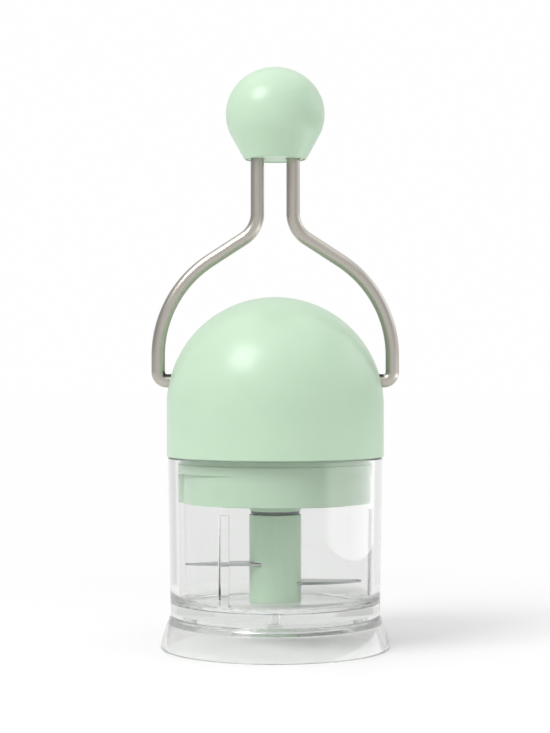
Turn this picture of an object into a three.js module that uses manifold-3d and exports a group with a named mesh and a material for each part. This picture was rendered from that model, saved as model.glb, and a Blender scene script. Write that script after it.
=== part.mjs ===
// Ratchet garlic chopper: clear cup, dome lid with a bevel gear and ratchet drive, rocking wire handle.
// Millimetres, Z up, X to the right, the front faces minus Y. The origin is the centre of the foot.
import * as THREE from 'three';
import { mergeVertices } from 'three/addons/utils/BufferGeometryUtils.js';
import Module from 'manifold-3d';

const wasm = await Module();
wasm.setup();

// Clearances
const seatGap = 0.3;          // between two pieces that seat on each other
const overrun = 2;            // how far a cut runs past the face that it opens
const mergeDistance = 0.0001; // corners closer than this are one corner

// Base ring, the flared foot
const baseHeight = 11.2;
const baseStandOut = 0.4;     // of its top edge past the cup's foot
const baseFlare = 3.3;        // of the radius, from the top edge down to the floor
const baseBulge = 0.35;
const baseWall = 2.2;
const baseLedgeThickness = 2.4;
const tabWidth = 5;
const tabThickness = 1.6;
const tabTurn = 30;           // degrees round from plus X to the first tab

// Cup
const cupHeight = 58.5;
const cupRimRadius = 39.55;
const cupTaper = 0.95;        // of the radius, from the rim down to the foot
const cupWall = 3.25;
const cupFloor = 3;
const cupFootRingHeight = 1.6;
const cupFootRingWidth = 4.5;
const cupFloorFillet = 5;
const cupRimRound = 0.5;
const ribWidth = 3;
const ribDepth = 1.6;
const ribDrop = 2.8;          // of the ribs' tops below the collar
const ribTurn = -122.6;       // degrees round from plus X to the front rib
const centrePinRadius = 3;
const centrePinHeight = 10;
const centrePinWall = 1.5;

// Collar, the plug under the dome
const collarClearance = 0.4;
const collarDepth = 16.3;
const collarWall = 2.6;
const collarFloor = 3.2;
const collarGrooveDepth = 1;
const collarGrooveHeight = 1.6;
const collarGrooveDrop = 0.5;
const collarFlangeHeight = 3;
const rampDepth = 1.2;
const rampHeight = 10;
const rampSpan = 58;          // degrees
const rampTurn = -169;        // degrees round from plus X to the deep end of the left ramp
const noseRadius = 9.4;
const noseDrop = 3.4;
const collarHubRadius = 9.6;
const collarHubHeight = 4.1;

// Dome
const domeStandOut = 0.45;    // of the dome past the cup's rim
const domeWall = 2.4;
const postRadius = 3.4;
const postInset = 0.6;        // between a post and the collar's wall
const postTurn = 45;          // degrees round from plus X to the first post
const pivotBossRadius = 7;
const pivotBossDepth = 3.4;   // from the dome's bore at the top of the bush's flange to the boss's face
const skinHoleRadius = 3.6;

// Bushes
const bushWall = 1.2;
const pivotBushLength = 5.4;
const pivotFlangeRadius = 6;
const flangeThickness = 1;
const lowerBushWall = 2;
const lowerFlangeRadius = 8.2;
const upperFlangeRadius = 5.4;

// Handle wire
const wireRadius = 2.5;
const legOffset = 6.6;
const neckBend = 11;
const shoulderSlope = 33;     // degrees below the horizontal
const shoulderBend = 42;
const archGap = 0.7;          // between the arms and the dome
const archStraight = 5.95;    // of the arms, from the end bend up to the shoulder
const endBend = 3.25;
const socketDepth = 15.4;
const keyFlat = 0.8;

// Knob
const knobRadius = 18.25;
const knobRise = 98.4;        // of its widest level above the handle's axis
const knobCrown = 17.3;
const knobNeck = 16.7;
const knobFootRadius = 11.7;
const knobConeStart = 27;     // degrees below the widest level
const knobFootRound = 0.6;
const plugThickness = 2.8;
const plugWall = 0.8;

// Bevel gears
const gearTeeth = 36;
const pinionTeeth = 12;
const gearModule = 1.25;
const gearFace = 5;
const addendumShare = 0.75;   // of the module
const dedendumShare = 1.1;    // of the module
const toothTipShare = 0.2;    // of the tooth's pitch
const toothRootShare = 0.58;  // of the tooth's pitch
const gearWeb = 2.5;
const gearRimGap = 6;         // between the drive gear's pitch circle and the dome above it
const driveHubRadius = 5.2;

// Spindle, ratchet and pawls
const spindleRadius = 3.5;
const spindleFlat = 2.7;      // from the axis to the flat that keys the ratchet wheel
const spindleTopRadius = 2.5;
const journalRadius = 5;
const shoulderRadius = 6;
const shoulderHeight = 3.6;
const hexRadius = 4.8;
const hexGap = 5.2;           // between the spindle's lower end and the upper blade
const clipRadius = 5.2;
const clipThickness = 0.7;
const clipGroove = 0.6;
const clipMouth = 70;         // degrees
const ratchetTeeth = 12;
const ratchetRadius = 7.8;
const ratchetToothDepth = 1.6;
const ratchetThickness = 4;
const carrierRadius = 13;
const carrierThickness = 3;
const pinionNeckRadius = 5.2;
const pinionNeckHeight = 1.8;
const pinionHubRadius = 4.5;
const pinionHubHeight = 1.6;
const pawlCircle = 10.8;
const pawlPinRadius = 1.1;
const pawlBossRadius = 2.3;
const pawlReach = 50;         // degrees from the pawl's pin back to its nose
const pawlHeadRadius = 2.3;
const pawlHeadHeight = 0.8;
const springWireRadius = 0.25;
const springTurns = 1.5;
const springPitch = 0.95;

// Gear frame
const frameInner = 14;
const frameLeg = 3.5;
const frameFoot = 7.5;
const frameFootThickness = 2.5;
const frameBridge = 3.5;
const frameLeftReach = 4;
const frameRightReach = 6;
const frameBossRadius = 5.9;
const frameFootBossRadius = 3.4;

// Screws
const screwRadius = 1.4;
const screwHeadRadius = 2.7;
const screwHeadHeight = 1.5;
const screwLength = 9;
const frameScrewLength = 6.2;

// Blade unit
const bladeHubRadius = 9.6;
const bladeHubGap = 1.2;      // between the post and the collar's nose
const bladeHubRound = 0.8;
const bladeThickness = 0.8;
const bladeRootRadius = 6.8;
const bladeRootBore = 4;
const upperBladeHeight = 15;  // above the cup's floor
const lowerBladeHeight = 7.8;
const bladeTipGap = 0.65;     // between a tip and the ribs
const bladeTipBack = 5.2;
const bladeFrontWidth = 8;
const bladeBackWidth = 5.3;

// Counts and how fine the round forms are
const tabCount = 6;
const ribCount = 3;
const rampCount = 3;
const postCount = 4;
const pawlCount = 2;
const hexSides = 6;
const roundSides = 40;
const middleSides = 32;
const smallSides = 14;
const wireSides = 10;
const springSides = 6;
const springSteps = 12;       // for each turn
const arcSteps = 6;
const bendSteps = 4;

// Derived heights
const cupFootZ = baseHeight + seatGap;
const cupRimZ = cupFootZ + cupHeight;
const cupUnderFloorZ = cupFootZ + cupFootRingHeight;
const cupFloorZ = cupUnderFloorZ + cupFloor;
const pinTopZ = cupFloorZ + centrePinHeight;
const domeEdgeZ = cupRimZ + seatGap;
const collarBottomZ = cupRimZ - collarDepth;
const collarFloorZ = collarBottomZ + collarFloor;
const collarHubTopZ = collarFloorZ + collarHubHeight;
const noseZ = collarBottomZ - noseDrop;
const collarTopZ = domeEdgeZ + collarFlangeHeight;
const ribTopZ = collarBottomZ - ribDrop;
const bladeHubZ = cupFloorZ + seatGap;
const bladeHubTopZ = noseZ - bladeHubGap;

// Derived radii
const cupFootRadius = cupRimRadius - cupTaper;
const cupBoreTop = cupRimRadius - cupWall;
const cupBoreFoot = cupFootRadius - cupWall;
const cupFootRingBore = cupFootRadius - cupFootRingWidth;
const baseTopRadius = cupFootRadius + baseStandOut;
const baseFootRadius = baseTopRadius + baseFlare;
const collarRadius = cupBoreTop - collarClearance;
const collarBore = collarRadius - collarWall;
const postCircle = collarBore - postRadius - postInset;
const domeRadius = cupRimRadius + domeStandOut;
const domeBore = domeRadius - domeWall;
const archHalfWidth = domeRadius + archGap + wireRadius;
const bladeTipRadius = cupBoreFoot - ribDepth - bladeTipGap;
const wireHole = wireRadius + seatGap;
const screwHole = screwRadius + seatGap;

// Derived drive train, from the collar up to the handle's axis
const gearPitchRadius = gearTeeth * gearModule / 2;
const pinionPitchRadius = pinionTeeth * gearModule / 2;
const lowerFlangeZ = collarHubTopZ + seatGap;
const shoulderZ = lowerFlangeZ + flangeThickness + seatGap;
const ratchetZ = shoulderZ + shoulderHeight + seatGap;
const carrierZ = ratchetZ + ratchetThickness + seatGap;
const pinionZ = carrierZ + carrierThickness + pinionNeckHeight;
const pivotZ = pinionZ + gearPitchRadius;
const springHeight = springTurns * springPitch + 2 * springWireRadius;
const pawlPinHeadZ = ratchetZ - springHeight - pawlHeadHeight - 2 * seatGap;
const toothFace = -90 - pawlReach; // degrees round to the tooth face that the front pawl pushes
const coneLength = Math.hypot(gearPitchRadius, pinionPitchRadius);
const smallEndShare = (coneLength - gearFace) / coneLength;
const pinionTopZ = pivotZ - smallEndShare * gearPitchRadius + pinionHubHeight;
const upperFlangeZ = pinionTopZ + seatGap;
const bridgeZ = upperFlangeZ + flangeThickness + seatGap;
const bridgeTopZ = bridgeZ + frameBridge;
const clipZ = bridgeTopZ + seatGap + seatGap;
const spindleTopZ = clipZ + clipThickness + clipGroove;
const hexEndZ = cupFloorZ + upperBladeHeight + bladeThickness / 2 + hexGap;
const pivotRise = domeBore - gearPitchRadius - gearRimGap;
const domeSpringZ = pivotZ - pivotRise;
const flangeRise = pivotRise + pivotFlangeRadius;
const pivotBossReach = Math.sqrt(domeBore ** 2 - flangeRise ** 2) - pivotBossDepth;
const wireEndX = pivotBossReach - flangeThickness - seatGap - seatGap - socketDepth;
const hubHalfLength = pivotBossReach - flangeThickness - seatGap - seatGap;
const frameMiddleX = (frameRightReach - frameLeftReach) / 2;
const footScrewY = frameInner + frameLeg + frameFoot / 2;
const knobZ = pivotZ + knobRise;
const knobFootZ = knobZ - knobNeck;

// Materials, with the colours of the object
function finish(color, roughness, metalness) {
  return new THREE.MeshStandardMaterial({ color, roughness, metalness });
}
const mint = finish(0xc5e2cb, 0.35, 0);
const steel = finish(0xb9b5ae, 0.28, 1);
const bladeSteel = finish(0xc8c9ca, 0.2, 1);
const acetal = finish(0xefeee6, 0.4, 0);
const nylon = finish(0x5c6162, 0.5, 0);
const clear = finish(0xf1f4f3, 0.05, 0);
clear.transparent = true;
clear.opacity = 0.3;

// Solids from three.js geometries

// A closed solid: shared corners merged, empty faces dropped, faces turned outwards.
function solid(geometry) {
  const loose = geometry.index ? geometry.toNonIndexed() : geometry.clone();
  loose.deleteAttribute('normal');
  loose.deleteAttribute('uv');
  const merged = mergeVertices(loose, mergeDistance);
  const faces = [];
  for (let i = 0; i < merged.index.count; i += 3) {
    const face = [merged.index.getX(i), merged.index.getX(i + 1), merged.index.getX(i + 2)];
    if (new Set(face).size === 3) faces.push(face);
  }
  const vertProperties = new Float32Array(merged.getAttribute('position').array);
  const build = (list) => new wasm.Manifold(
    new wasm.Mesh({ numProp: 3, vertProperties, triVerts: new Uint32Array(list.flat()) }),
  );
  const made = build(faces);
  return made.volume() < 0 ? build(faces.map(([a, b, c]) => [a, c, b])) : made;
}

function join(...solids) {
  return solids.reduce((whole, next) => whole.add(next));
}

function cut(body, ...tools) {
  return tools.reduce((whole, tool) => whole.subtract(tool), body);
}

function piece(name, body, material) {
  const mesh = body.getMesh();
  const geometry = new THREE.BufferGeometry();
  geometry.setAttribute('position', new THREE.BufferAttribute(new Float32Array(mesh.vertProperties), 3));
  geometry.setIndex(new THREE.BufferAttribute(new Uint32Array(mesh.triVerts), 1));
  const faceted = geometry.toNonIndexed();
  faceted.computeVertexNormals();
  const made = new THREE.Mesh(faceted, material);
  made.name = name;
  return made;
}

function radians(degrees) {
  return THREE.MathUtils.degToRad(degrees);
}

// A profile of [radius, height] points turned about Z.
function lathed(profile, sides = roundSides) {
  const points = profile.map(([radius, height]) => new THREE.Vector2(radius, height));
  return new THREE.LatheGeometry(points, sides).rotateX(Math.PI / 2);
}

// A solid whose profile starts and ends on the axis.
function turned(profile, sides = roundSides) {
  return solid(lathed(profile, sides));
}

// A ring: the profile closes on itself clear of the axis.
function ring(profile, sides = roundSides) {
  return turned([...profile, profile[0]], sides);
}

// Points of an arc or ellipse in a profile, angles in degrees from the outward direction.
function arc(centreRadius, centreHeight, radius, from, to, steps = arcSteps, heightRadius = radius) {
  return Array.from({ length: steps + 1 }, (_, i) => {
    const angle = radians(from + (to - from) * i / steps);
    return [centreRadius + radius * Math.cos(angle), centreHeight + heightRadius * Math.sin(angle)];
  });
}

function rod(radius, from, to, sides = smallSides) {
  const geometry = new THREE.CylinderGeometry(radius, radius, to - from, sides);
  return geometry.rotateX(Math.PI / 2).translate(0, 0, (from + to) / 2);
}

function tube(inner, outer, from, to, sides = smallSides) {
  return ring([[inner, from], [outer, from], [outer, to], [inner, to]], sides);
}

// A rod along X at the handle's axis.
function crossRod(radius, from, to, sides = smallSides) {
  return rod(radius, from, to, sides).rotateY(Math.PI / 2).translate(0, 0, pivotZ);
}

function block(width, depth, height, x, y, z) {
  return new THREE.BoxGeometry(width, depth, height).translate(x, y, z);
}

function prism(shape, from, to, curveSegments = arcSteps) {
  const settings = { depth: to - from, bevelEnabled: false, curveSegments };
  return new THREE.ExtrudeGeometry(shape, settings).translate(0, 0, from);
}

function polygon(points) {
  return new THREE.Shape(points.map(([x, y]) => new THREE.Vector2(x, y)));
}

// The same solid at equal turns about Z, joined.
function around(count, start, make) {
  return join(...Array.from({ length: count }, (_, i) => (
    solid(make().rotateZ(radians(start) + 2 * Math.PI * i / count))
  )));
}

// Cup and foot

function baseRing() {
  const ledgeRadius = cupFootRingBore - seatGap - tabThickness;
  const flare = (share) => {
    const line = baseFootRadius + (baseTopRadius - baseFootRadius) * share;
    return line + 4 * baseBulge * share * (1 - share);
  };
  const shares = [0, 1 / 4, 1 / 2, 3 / 4, 1];
  const ledgeUnderShare = (baseHeight - baseLedgeThickness) / baseHeight;
  const outside = shares.map((share) => [flare(share), share * baseHeight]);
  const inside = shares.map((share) => share * ledgeUnderShare).reverse()
    .map((share) => [flare(share) - baseWall, share * baseHeight]);
  const skirt = ring([
    ...outside,
    [ledgeRadius, baseHeight],
    [ledgeRadius, baseHeight - baseLedgeThickness],
    ...inside,
  ]);
  const tabTop = cupUnderFloorZ - seatGap;
  const tab = () => block(
    tabThickness, tabWidth, tabTop - baseHeight + baseLedgeThickness,
    ledgeRadius + tabThickness / 2, 0, (tabTop + baseHeight - baseLedgeThickness) / 2,
  );
  return join(skirt, around(tabCount, tabTurn, tab));
}

function cupBody() {
  const pinBore = centrePinRadius - centrePinWall;
  const bore = (z) => cupBoreFoot + (cupBoreTop - cupBoreFoot) * (z - cupFootZ) / cupHeight;
  const filletTop = cupFloorZ + cupFloorFillet;
  const shell = turned([
    [0, pinTopZ],
    [centrePinRadius - cupRimRound, pinTopZ],
    [centrePinRadius, pinTopZ - cupRimRound],
    [centrePinRadius, cupFloorZ],
    ...arc(bore(filletTop) - cupFloorFillet, filletTop, cupFloorFillet, -90, 0, bendSteps),
    [bore(cupRimZ), cupRimZ - cupRimRound],
    [bore(cupRimZ) + cupRimRound, cupRimZ],
    [cupRimRadius - cupRimRound, cupRimZ],
    [cupRimRadius, cupRimZ - cupRimRound],
    [cupFootRadius, cupFootZ],
    [cupFootRingBore, cupFootZ],
    [cupFootRingBore, cupUnderFloorZ],
    [pinBore, cupUnderFloorZ],
    [pinBore, pinTopZ - centrePinWall],
    [0, pinTopZ - centrePinWall],
  ]);
  const ribInner = cupBoreFoot - ribDepth;
  const ribOuter = cupBoreFoot + cupWall / 2;
  const ribFootZ = cupFloorZ - cupFloor / 2;
  const rib = () => block(
    ribOuter - ribInner, ribWidth, ribTopZ - ribFootZ,
    (ribOuter + ribInner) / 2, 0, (ribTopZ + ribFootZ) / 2,
  );
  return join(shell, around(ribCount, ribTurn, rib));
}

// Lid

// A wedge that cuts a lead-in ramp into the collar: deep at one end, running out at the other.
function rampCutter() {
  const outer = collarRadius + overrun;
  const inner = [];
  const outside = [];
  for (let i = 0; i <= arcSteps; i += 1) {
    const share = i / arcSteps;
    const angle = radians(rampSpan * share);
    const radius = collarRadius - rampDepth * (1 - share);
    inner.push([radius * Math.cos(angle), radius * Math.sin(angle)]);
    outside.unshift([outer * Math.cos(angle), outer * Math.sin(angle)]);
  }
  return prism(polygon([...inner, ...outside]), collarBottomZ - overrun, collarBottomZ + rampHeight);
}

function collar() {
  const grooveTop = cupRimZ - collarGrooveDrop;
  const grooveBottom = grooveTop - collarGrooveHeight;
  const grooveRadius = collarRadius - collarGrooveDepth;
  const flangeRadius = domeBore - seatGap;
  const bushSeat = journalRadius + seatGap + lowerBushWall + seatGap;
  const cover = ring([
    [bushSeat, noseZ],
    [noseRadius, noseZ],
    [noseRadius, collarBottomZ],
    [collarRadius, collarBottomZ],
    [collarRadius, grooveBottom],
    [grooveRadius, grooveBottom],
    [grooveRadius, grooveTop],
    [collarRadius, grooveTop],
    [collarRadius, domeEdgeZ + seatGap],
    [flangeRadius, domeEdgeZ + seatGap],
    [flangeRadius, collarTopZ],
    [collarBore, collarTopZ],
    [collarBore, collarFloorZ],
    [collarHubRadius, collarFloorZ],
    [collarHubRadius, collarHubTopZ],
    [bushSeat, collarHubTopZ],
  ]);
  const footBoss = () => rod(frameFootBossRadius, collarFloorZ - collarFloor / 2, collarHubTopZ)
    .translate(frameMiddleX, footScrewY, 0);
  const bosses = join(solid(footBoss()), solid(footBoss().translate(0, -2 * footScrewY, 0)));
  const pilot = () => rod(screwHole, collarHubTopZ - frameScrewLength, collarHubTopZ + overrun, wireSides)
    .translate(frameMiddleX, footScrewY, 0);
  const headTopZ = collarBottomZ + screwHeadHeight + seatGap;
  const well = () => rod(screwHeadRadius + seatGap, collarBottomZ - overrun, headTopZ)
    .translate(postCircle, 0, 0);
  const shaftHole = () => rod(screwHole, collarBottomZ - overrun, collarFloorZ + overrun, wireSides)
    .translate(postCircle, 0, 0);
  return cut(
    join(cover, bosses),
    solid(pilot()),
    solid(pilot().translate(0, -2 * footScrewY, 0)),
    around(postCount, postTurn, well),
    around(postCount, postTurn, shaftHole),
    around(rampCount, rampTurn, rampCutter),
  );
}

function domeShell() {
  const middle = domeRadius - domeWall / 2;
  const outer = turned([[0, domeEdgeZ], [domeRadius, domeEdgeZ], ...arc(0, domeSpringZ, domeRadius, 0, 90)]);
  const inner = turned([[0, domeEdgeZ - overrun], [domeBore, domeEdgeZ - overrun],
    ...arc(0, domeSpringZ, domeBore, 0, 90)]);
  const trim = turned([[0, collarFloorZ], [middle, collarFloorZ], ...arc(0, domeSpringZ, middle, 0, 90)]);
  const post = () => rod(postRadius, collarFloorZ + seatGap, domeSpringZ + domeRadius)
    .translate(postCircle, 0, 0);
  const bosses = join(
    solid(crossRod(pivotBossRadius, pivotBossReach, domeRadius)),
    solid(crossRod(pivotBossRadius, -domeRadius, -pivotBossReach)),
  );
  const inside = join(around(postCount, postTurn, post), bosses).intersect(trim);
  const screwEnd = collarBottomZ + screwHeadHeight + screwLength + seatGap;
  const postBore = () => rod(screwHole, collarFloorZ, screwEnd, wireSides).translate(postCircle, 0, 0);
  const bushBore = wireHole + bushWall + seatGap;
  const bushEnd = pivotBossReach + pivotBushLength + seatGap;
  return cut(
    join(outer.subtract(inner), inside),
    around(postCount, postTurn, postBore),
    solid(crossRod(bushBore, pivotBossReach - overrun, bushEnd)),
    solid(crossRod(bushBore, -bushEnd, overrun - pivotBossReach)),
    solid(crossRod(skinHoleRadius, pivotBossReach, domeRadius + overrun)),
    solid(crossRod(skinHoleRadius, -domeRadius - overrun, -pivotBossReach)),
  );
}

// A flanged bush for one wire end. Side is 1 on the right and -1 on the left.
function pivotBush(side) {
  const flangeInner = pivotBossReach - seatGap - flangeThickness;
  const profile = [
    [wireHole, flangeInner],
    [pivotFlangeRadius, flangeInner],
    [pivotFlangeRadius, flangeInner + flangeThickness],
    [wireHole + bushWall, flangeInner + flangeThickness],
    [wireHole + bushWall, pivotBossReach + pivotBushLength],
    [wireHole, pivotBossReach + pivotBushLength],
    [wireHole, flangeInner],
  ];
  return solid(lathed(profile, smallSides).rotateY(side * Math.PI / 2).translate(0, 0, pivotZ));
}

function spindleBush(bore, wall, flangeRadius, bodyFrom, bodyTo, flangeFrom) {
  return join(
    tube(bore, bore + wall, bodyFrom, bodyTo),
    tube(bore, flangeRadius, flangeFrom, flangeFrom + flangeThickness),
  );
}

function gearFrame() {
  const legOuter = frameInner + frameLeg;
  const footOuter = legOuter + frameFoot;
  const footZ = collarHubTopZ + seatGap;
  const footTop = footZ + frameFootThickness;
  const half = [
    [frameInner, bridgeZ], [frameInner, footZ], [footOuter, footZ],
    [footOuter, footTop], [legOuter, footTop], [legOuter, bridgeTopZ],
  ];
  const outline = polygon([...half, ...half.map(([y, z]) => [-y, z]).reverse()]);
  const bar = prism(outline, -frameLeftReach, frameRightReach);
  // The outline is drawn in Y and Z, so the bar is turned to stand up with its depth along X.
  bar.rotateX(Math.PI / 2).rotateZ(Math.PI / 2);
  const bore = spindleTopRadius + seatGap + bushWall + seatGap;
  const hole = () => rod(screwHole, footZ - overrun, footTop + overrun, wireSides)
    .translate(frameMiddleX, footScrewY, 0);
  return cut(
    join(solid(bar), solid(rod(frameBossRadius, bridgeZ, bridgeTopZ))),
    solid(rod(bore, bridgeZ - overrun, bridgeTopZ + overrun)),
    solid(hole()),
    solid(hole().translate(0, -2 * footScrewY, 0)),
  );
}

// A pan head screw with a cross recess. Its head's seat is at z and the shaft points up, or down if turned.
function screw(length, seatZ, pointsUp, x, y) {
  const slot = screwHeadRadius / 2;
  const way = pointsUp ? 1 : -1;
  const low = (a, b) => Math.min(seatZ + way * a, seatZ + way * b);
  const high = (a, b) => Math.max(seatZ + way * a, seatZ + way * b);
  const head = rod(screwHeadRadius, low(-screwHeadHeight, 0), high(-screwHeadHeight, 0), wireSides);
  const inHead = -screwHeadHeight / 2;
  const shaft = rod(screwRadius, low(inHead, length), high(inHead, length), wireSides);
  const recessZ = seatZ - way * screwHeadHeight;
  const recess = (width, depth) => solid(block(width, depth, screwHeadHeight, x, y, recessZ));
  return cut(
    join(solid(head.translate(x, y, 0)), solid(shaft.translate(x, y, 0))),
    recess(2 * slot, slot / 2),
    recess(slot / 2, 2 * slot),
  );
}

// Handle

// A wire path through chosen stations, so the steps can be close in the bends.
class BentWire extends THREE.Curve {
  constructor(points) {
    super();
    this.points = points;
  }

  index(share) {
    return Math.round(share * (this.points.length - 1));
  }

  getPoint(share) {
    return this.points[this.index(share)].clone();
  }

  getPointAt(share) {
    return this.getPoint(share);
  }

  getTangentAt(share) {
    const i = this.index(share);
    const before = this.points[Math.max(i - 1, 0)];
    const after = this.points[Math.min(i + 1, this.points.length - 1)];
    return after.clone().sub(before).normalize();
  }
}

// The wire from the middle of its loop in the knob, down the right arm to its end in the gear's hub.
function rightArm() {
  const shoulderX = archHalfWidth - shoulderBend;
  const shoulderZc = pivotZ + endBend + archStraight;
  const slope = radians(shoulderSlope);
  const neckX = legOffset + neckBend;
  const neckEndX = neckX - neckBend * Math.sin(slope);
  const shoulderStartX = shoulderX + shoulderBend * Math.sin(slope);
  const shoulderStartZ = shoulderZc + shoulderBend * Math.cos(slope);
  const neckEndZ = shoulderStartZ + (shoulderStartX - neckEndX) * Math.tan(slope);
  const neckZ = neckEndZ + neckBend * Math.cos(slope);
  return [
    ...arc(0, knobZ, legOffset, 90, 0, bendSteps),
    ...arc(neckX, neckZ, neckBend, 180, 270 - shoulderSlope, bendSteps),
    ...arc(shoulderX, shoulderZc, shoulderBend, 90 - shoulderSlope, 0),
    ...arc(archHalfWidth - endBend, pivotZ + endBend, endBend, 0, -90, bendSteps),
    [wireEndX, pivotZ],
  ];
}

function handleWire() {
  const right = rightArm().map(([x, z]) => new THREE.Vector3(x, 0, z));
  const left = right.slice(1).map((point) => new THREE.Vector3(-point.x, 0, point.z)).reverse();
  const path = new BentWire([...left, ...right]);
  const section = new THREE.Shape().absarc(0, 0, wireRadius, 0, 2 * Math.PI);
  const settings = { steps: path.points.length - 1, extrudePath: path, curveSegments: wireSides / 2 };
  const flatStart = wireEndX - overrun;
  const flatEnd = hubHalfLength + seatGap;
  const flat = (side) => solid(block(
    flatEnd - flatStart, 2 * wireRadius, wireRadius,
    side * (flatStart + flatEnd) / 2, 0, pivotZ + wireRadius - keyFlat + wireRadius / 2,
  ));
  return cut(solid(new THREE.ExtrudeGeometry(section, settings)), flat(1), flat(-1));
}

function knobShell() {
  const crown = arc(0, knobZ, knobRadius, -knobConeStart, 90, 2 * arcSteps, knobCrown);
  const ball = turned([
    [0, knobFootZ],
    [knobFootRadius - knobFootRound, knobFootZ],
    [knobFootRadius, knobFootZ + knobFootRound],
    ...crown,
  ], middleSides);
  const recess = rod(knobFootRadius - plugWall, knobFootZ - overrun, knobFootZ + plugThickness + 2 * seatGap,
    middleSides);
  const slotHalf = legOffset + wireHole;
  const slotTop = knobZ + slotHalf;
  const slot = block(
    2 * slotHalf, 2 * wireHole, slotTop - knobFootZ,
    0, 0, (slotTop + knobFootZ) / 2,
  );
  return cut(ball, solid(recess), solid(slot));
}

function knobPlug() {
  const radius = knobFootRadius - plugWall - seatGap;
  const disc = rod(radius, knobFootZ + seatGap, knobFootZ + seatGap + plugThickness, middleSides);
  const hole = (x) => solid(rod(wireHole, knobFootZ - overrun, knobFootZ + plugThickness + overrun)
    .translate(x, 0, 0));
  return cut(solid(disc), hole(legOffset), hole(-legOffset));
}

// Bevel gears

// A bevel gear about Z with its cone's tip at the origin, its teeth towards the tip.
// Rings of equal point counts run from the wide end over the teeth and web, and close behind.
function bevelGear(teeth, pitchRadius, mateRadius, bore, web, firstTooth) {
  const cone = Math.atan2(pitchRadius, mateRadius);
  const height = { tip: addendumShare * gearModule, root: -dedendumShare * gearModule };
  const pitchAngle = 2 * Math.PI / teeth;
  const steps = [
    [-toothRootShare / 2, height.root], [-toothTipShare / 2, height.tip],
    [toothTipShare / 2, height.tip], [toothRootShare / 2, height.root],
  ];
  const spots = [];
  for (let tooth = 0; tooth < teeth; tooth += 1) {
    for (const [share, rise] of steps) {
      spots.push({ angle: radians(firstTooth) + pitchAngle * (tooth + share), rise });
    }
  }
  const toothed = (share) => spots.map(({ angle, rise }) => ({
    angle,
    radius: share * (coneLength * Math.sin(cone) + rise * Math.cos(cone)),
    height: share * (coneLength * Math.cos(cone) - rise * Math.sin(cone)),
  }));
  const plain = (radius, level) => spots.map(({ angle }) => ({ angle, radius, height: level }));
  const rootHeight = mateRadius - height.root * Math.sin(cone);
  const backHeight = rootHeight + web;
  const rootRadius = pitchRadius + height.root * Math.cos(cone);
  const rings = [
    toothed(1),
    toothed(smallEndShare),
    plain(smallEndShare * rootRadius - seatGap, smallEndShare * rootHeight),
    plain(bore, smallEndShare * rootHeight),
    plain(bore, backHeight),
    plain(rootRadius, backHeight),
  ];
  const corners = rings.flatMap((points) => points.flatMap(({ angle, radius, height: level }) => (
    [radius * Math.cos(angle), radius * Math.sin(angle), level]
  )));
  const count = spots.length;
  const index = [];
  for (let band = 0; band < rings.length; band += 1) {
    const next = (band + 1) % rings.length;
    for (let i = 0; i < count; i += 1) {
      const j = (i + 1) % count;
      const [a, b] = [band * count + i, band * count + j];
      const [c, d] = [next * count + i, next * count + j];
      index.push(a, b, c, b, d, c);
    }
  }
  const geometry = new THREE.BufferGeometry();
  geometry.setAttribute('position', new THREE.Float32BufferAttribute(corners, 3));
  geometry.setIndex(index);
  return geometry;
}

function driveGear() {
  const toothed = bevelGear(gearTeeth, gearPitchRadius, pinionPitchRadius, driveHubRadius / 2, gearWeb, 0);
  toothed.rotateY(-Math.PI / 2).translate(0, 0, pivotZ);
  const hub = solid(crossRod(driveHubRadius, -hubHalfLength, hubHalfLength));
  const socketFlat = wireRadius - keyFlat + seatGap;
  const socket = (side) => {
    const end = side * (hubHalfLength + overrun);
    const start = side * (wireEndX - seatGap);
    const round = solid(crossRod(wireHole, Math.min(start, end), Math.max(start, end)));
    const middle = (start + end) / 2;
    const above = solid(block(
      Math.abs(end - start) + overrun, 2 * wireHole, wireHole,
      middle, 0, pivotZ + socketFlat + wireHole / 2,
    ));
    return round.subtract(above);
  };
  return cut(join(solid(toothed), hub), socket(1), socket(-1));
}

function pinion() {
  const halfTooth = 180 / pinionTeeth;
  const bore = spindleRadius + seatGap;
  const toothed = bevelGear(pinionTeeth, pinionPitchRadius, gearPitchRadius, bore, seatGap, halfTooth);
  toothed.rotateX(Math.PI).translate(0, 0, pivotZ);
  const carrierTop = carrierZ + carrierThickness;
  const smallEndZ = pivotZ - smallEndShare * gearPitchRadius;
  const pinHole = () => rod(pawlPinRadius + seatGap, carrierZ - overrun, carrierTop + overrun, wireSides)
    .translate(0, pawlCircle, 0);
  return cut(
    join(
      solid(toothed),
      tube(bore, carrierRadius, carrierZ, carrierTop),
      tube(bore, pinionNeckRadius, carrierTop - seatGap, pinionZ),
      tube(bore, pinionHubRadius, smallEndZ - pinionHubHeight, pinionTopZ),
    ),
    around(pawlCount, 0, pinHole),
  );
}

// Ratchet

// The wheel's outline: each tooth has a radial face and a long ramp behind it.
function ratchetOutline() {
  const pitch = 360 / ratchetTeeth;
  const points = [];
  for (let tooth = 0; tooth < ratchetTeeth; tooth += 1) {
    const angle = radians(toothFace + pitch * tooth);
    const root = ratchetRadius - ratchetToothDepth;
    points.push([ratchetRadius * Math.cos(angle), ratchetRadius * Math.sin(angle)]);
    points.push([root * Math.cos(angle), root * Math.sin(angle)]);
  }
  return polygon(points);
}

// A round section with one flat, which keys a wheel to the spindle.
function keyedSection(radius, flatAt) {
  const start = Math.acos(flatAt / radius);
  return new THREE.Shape().absarc(0, 0, radius, start, 2 * Math.PI - start);
}

function ratchetWheel() {
  const outline = ratchetOutline();
  outline.holes.push(keyedSection(spindleRadius + seatGap, spindleFlat + seatGap));
  return solid(prism(outline, ratchetZ, ratchetZ + ratchetThickness));
}

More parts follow.
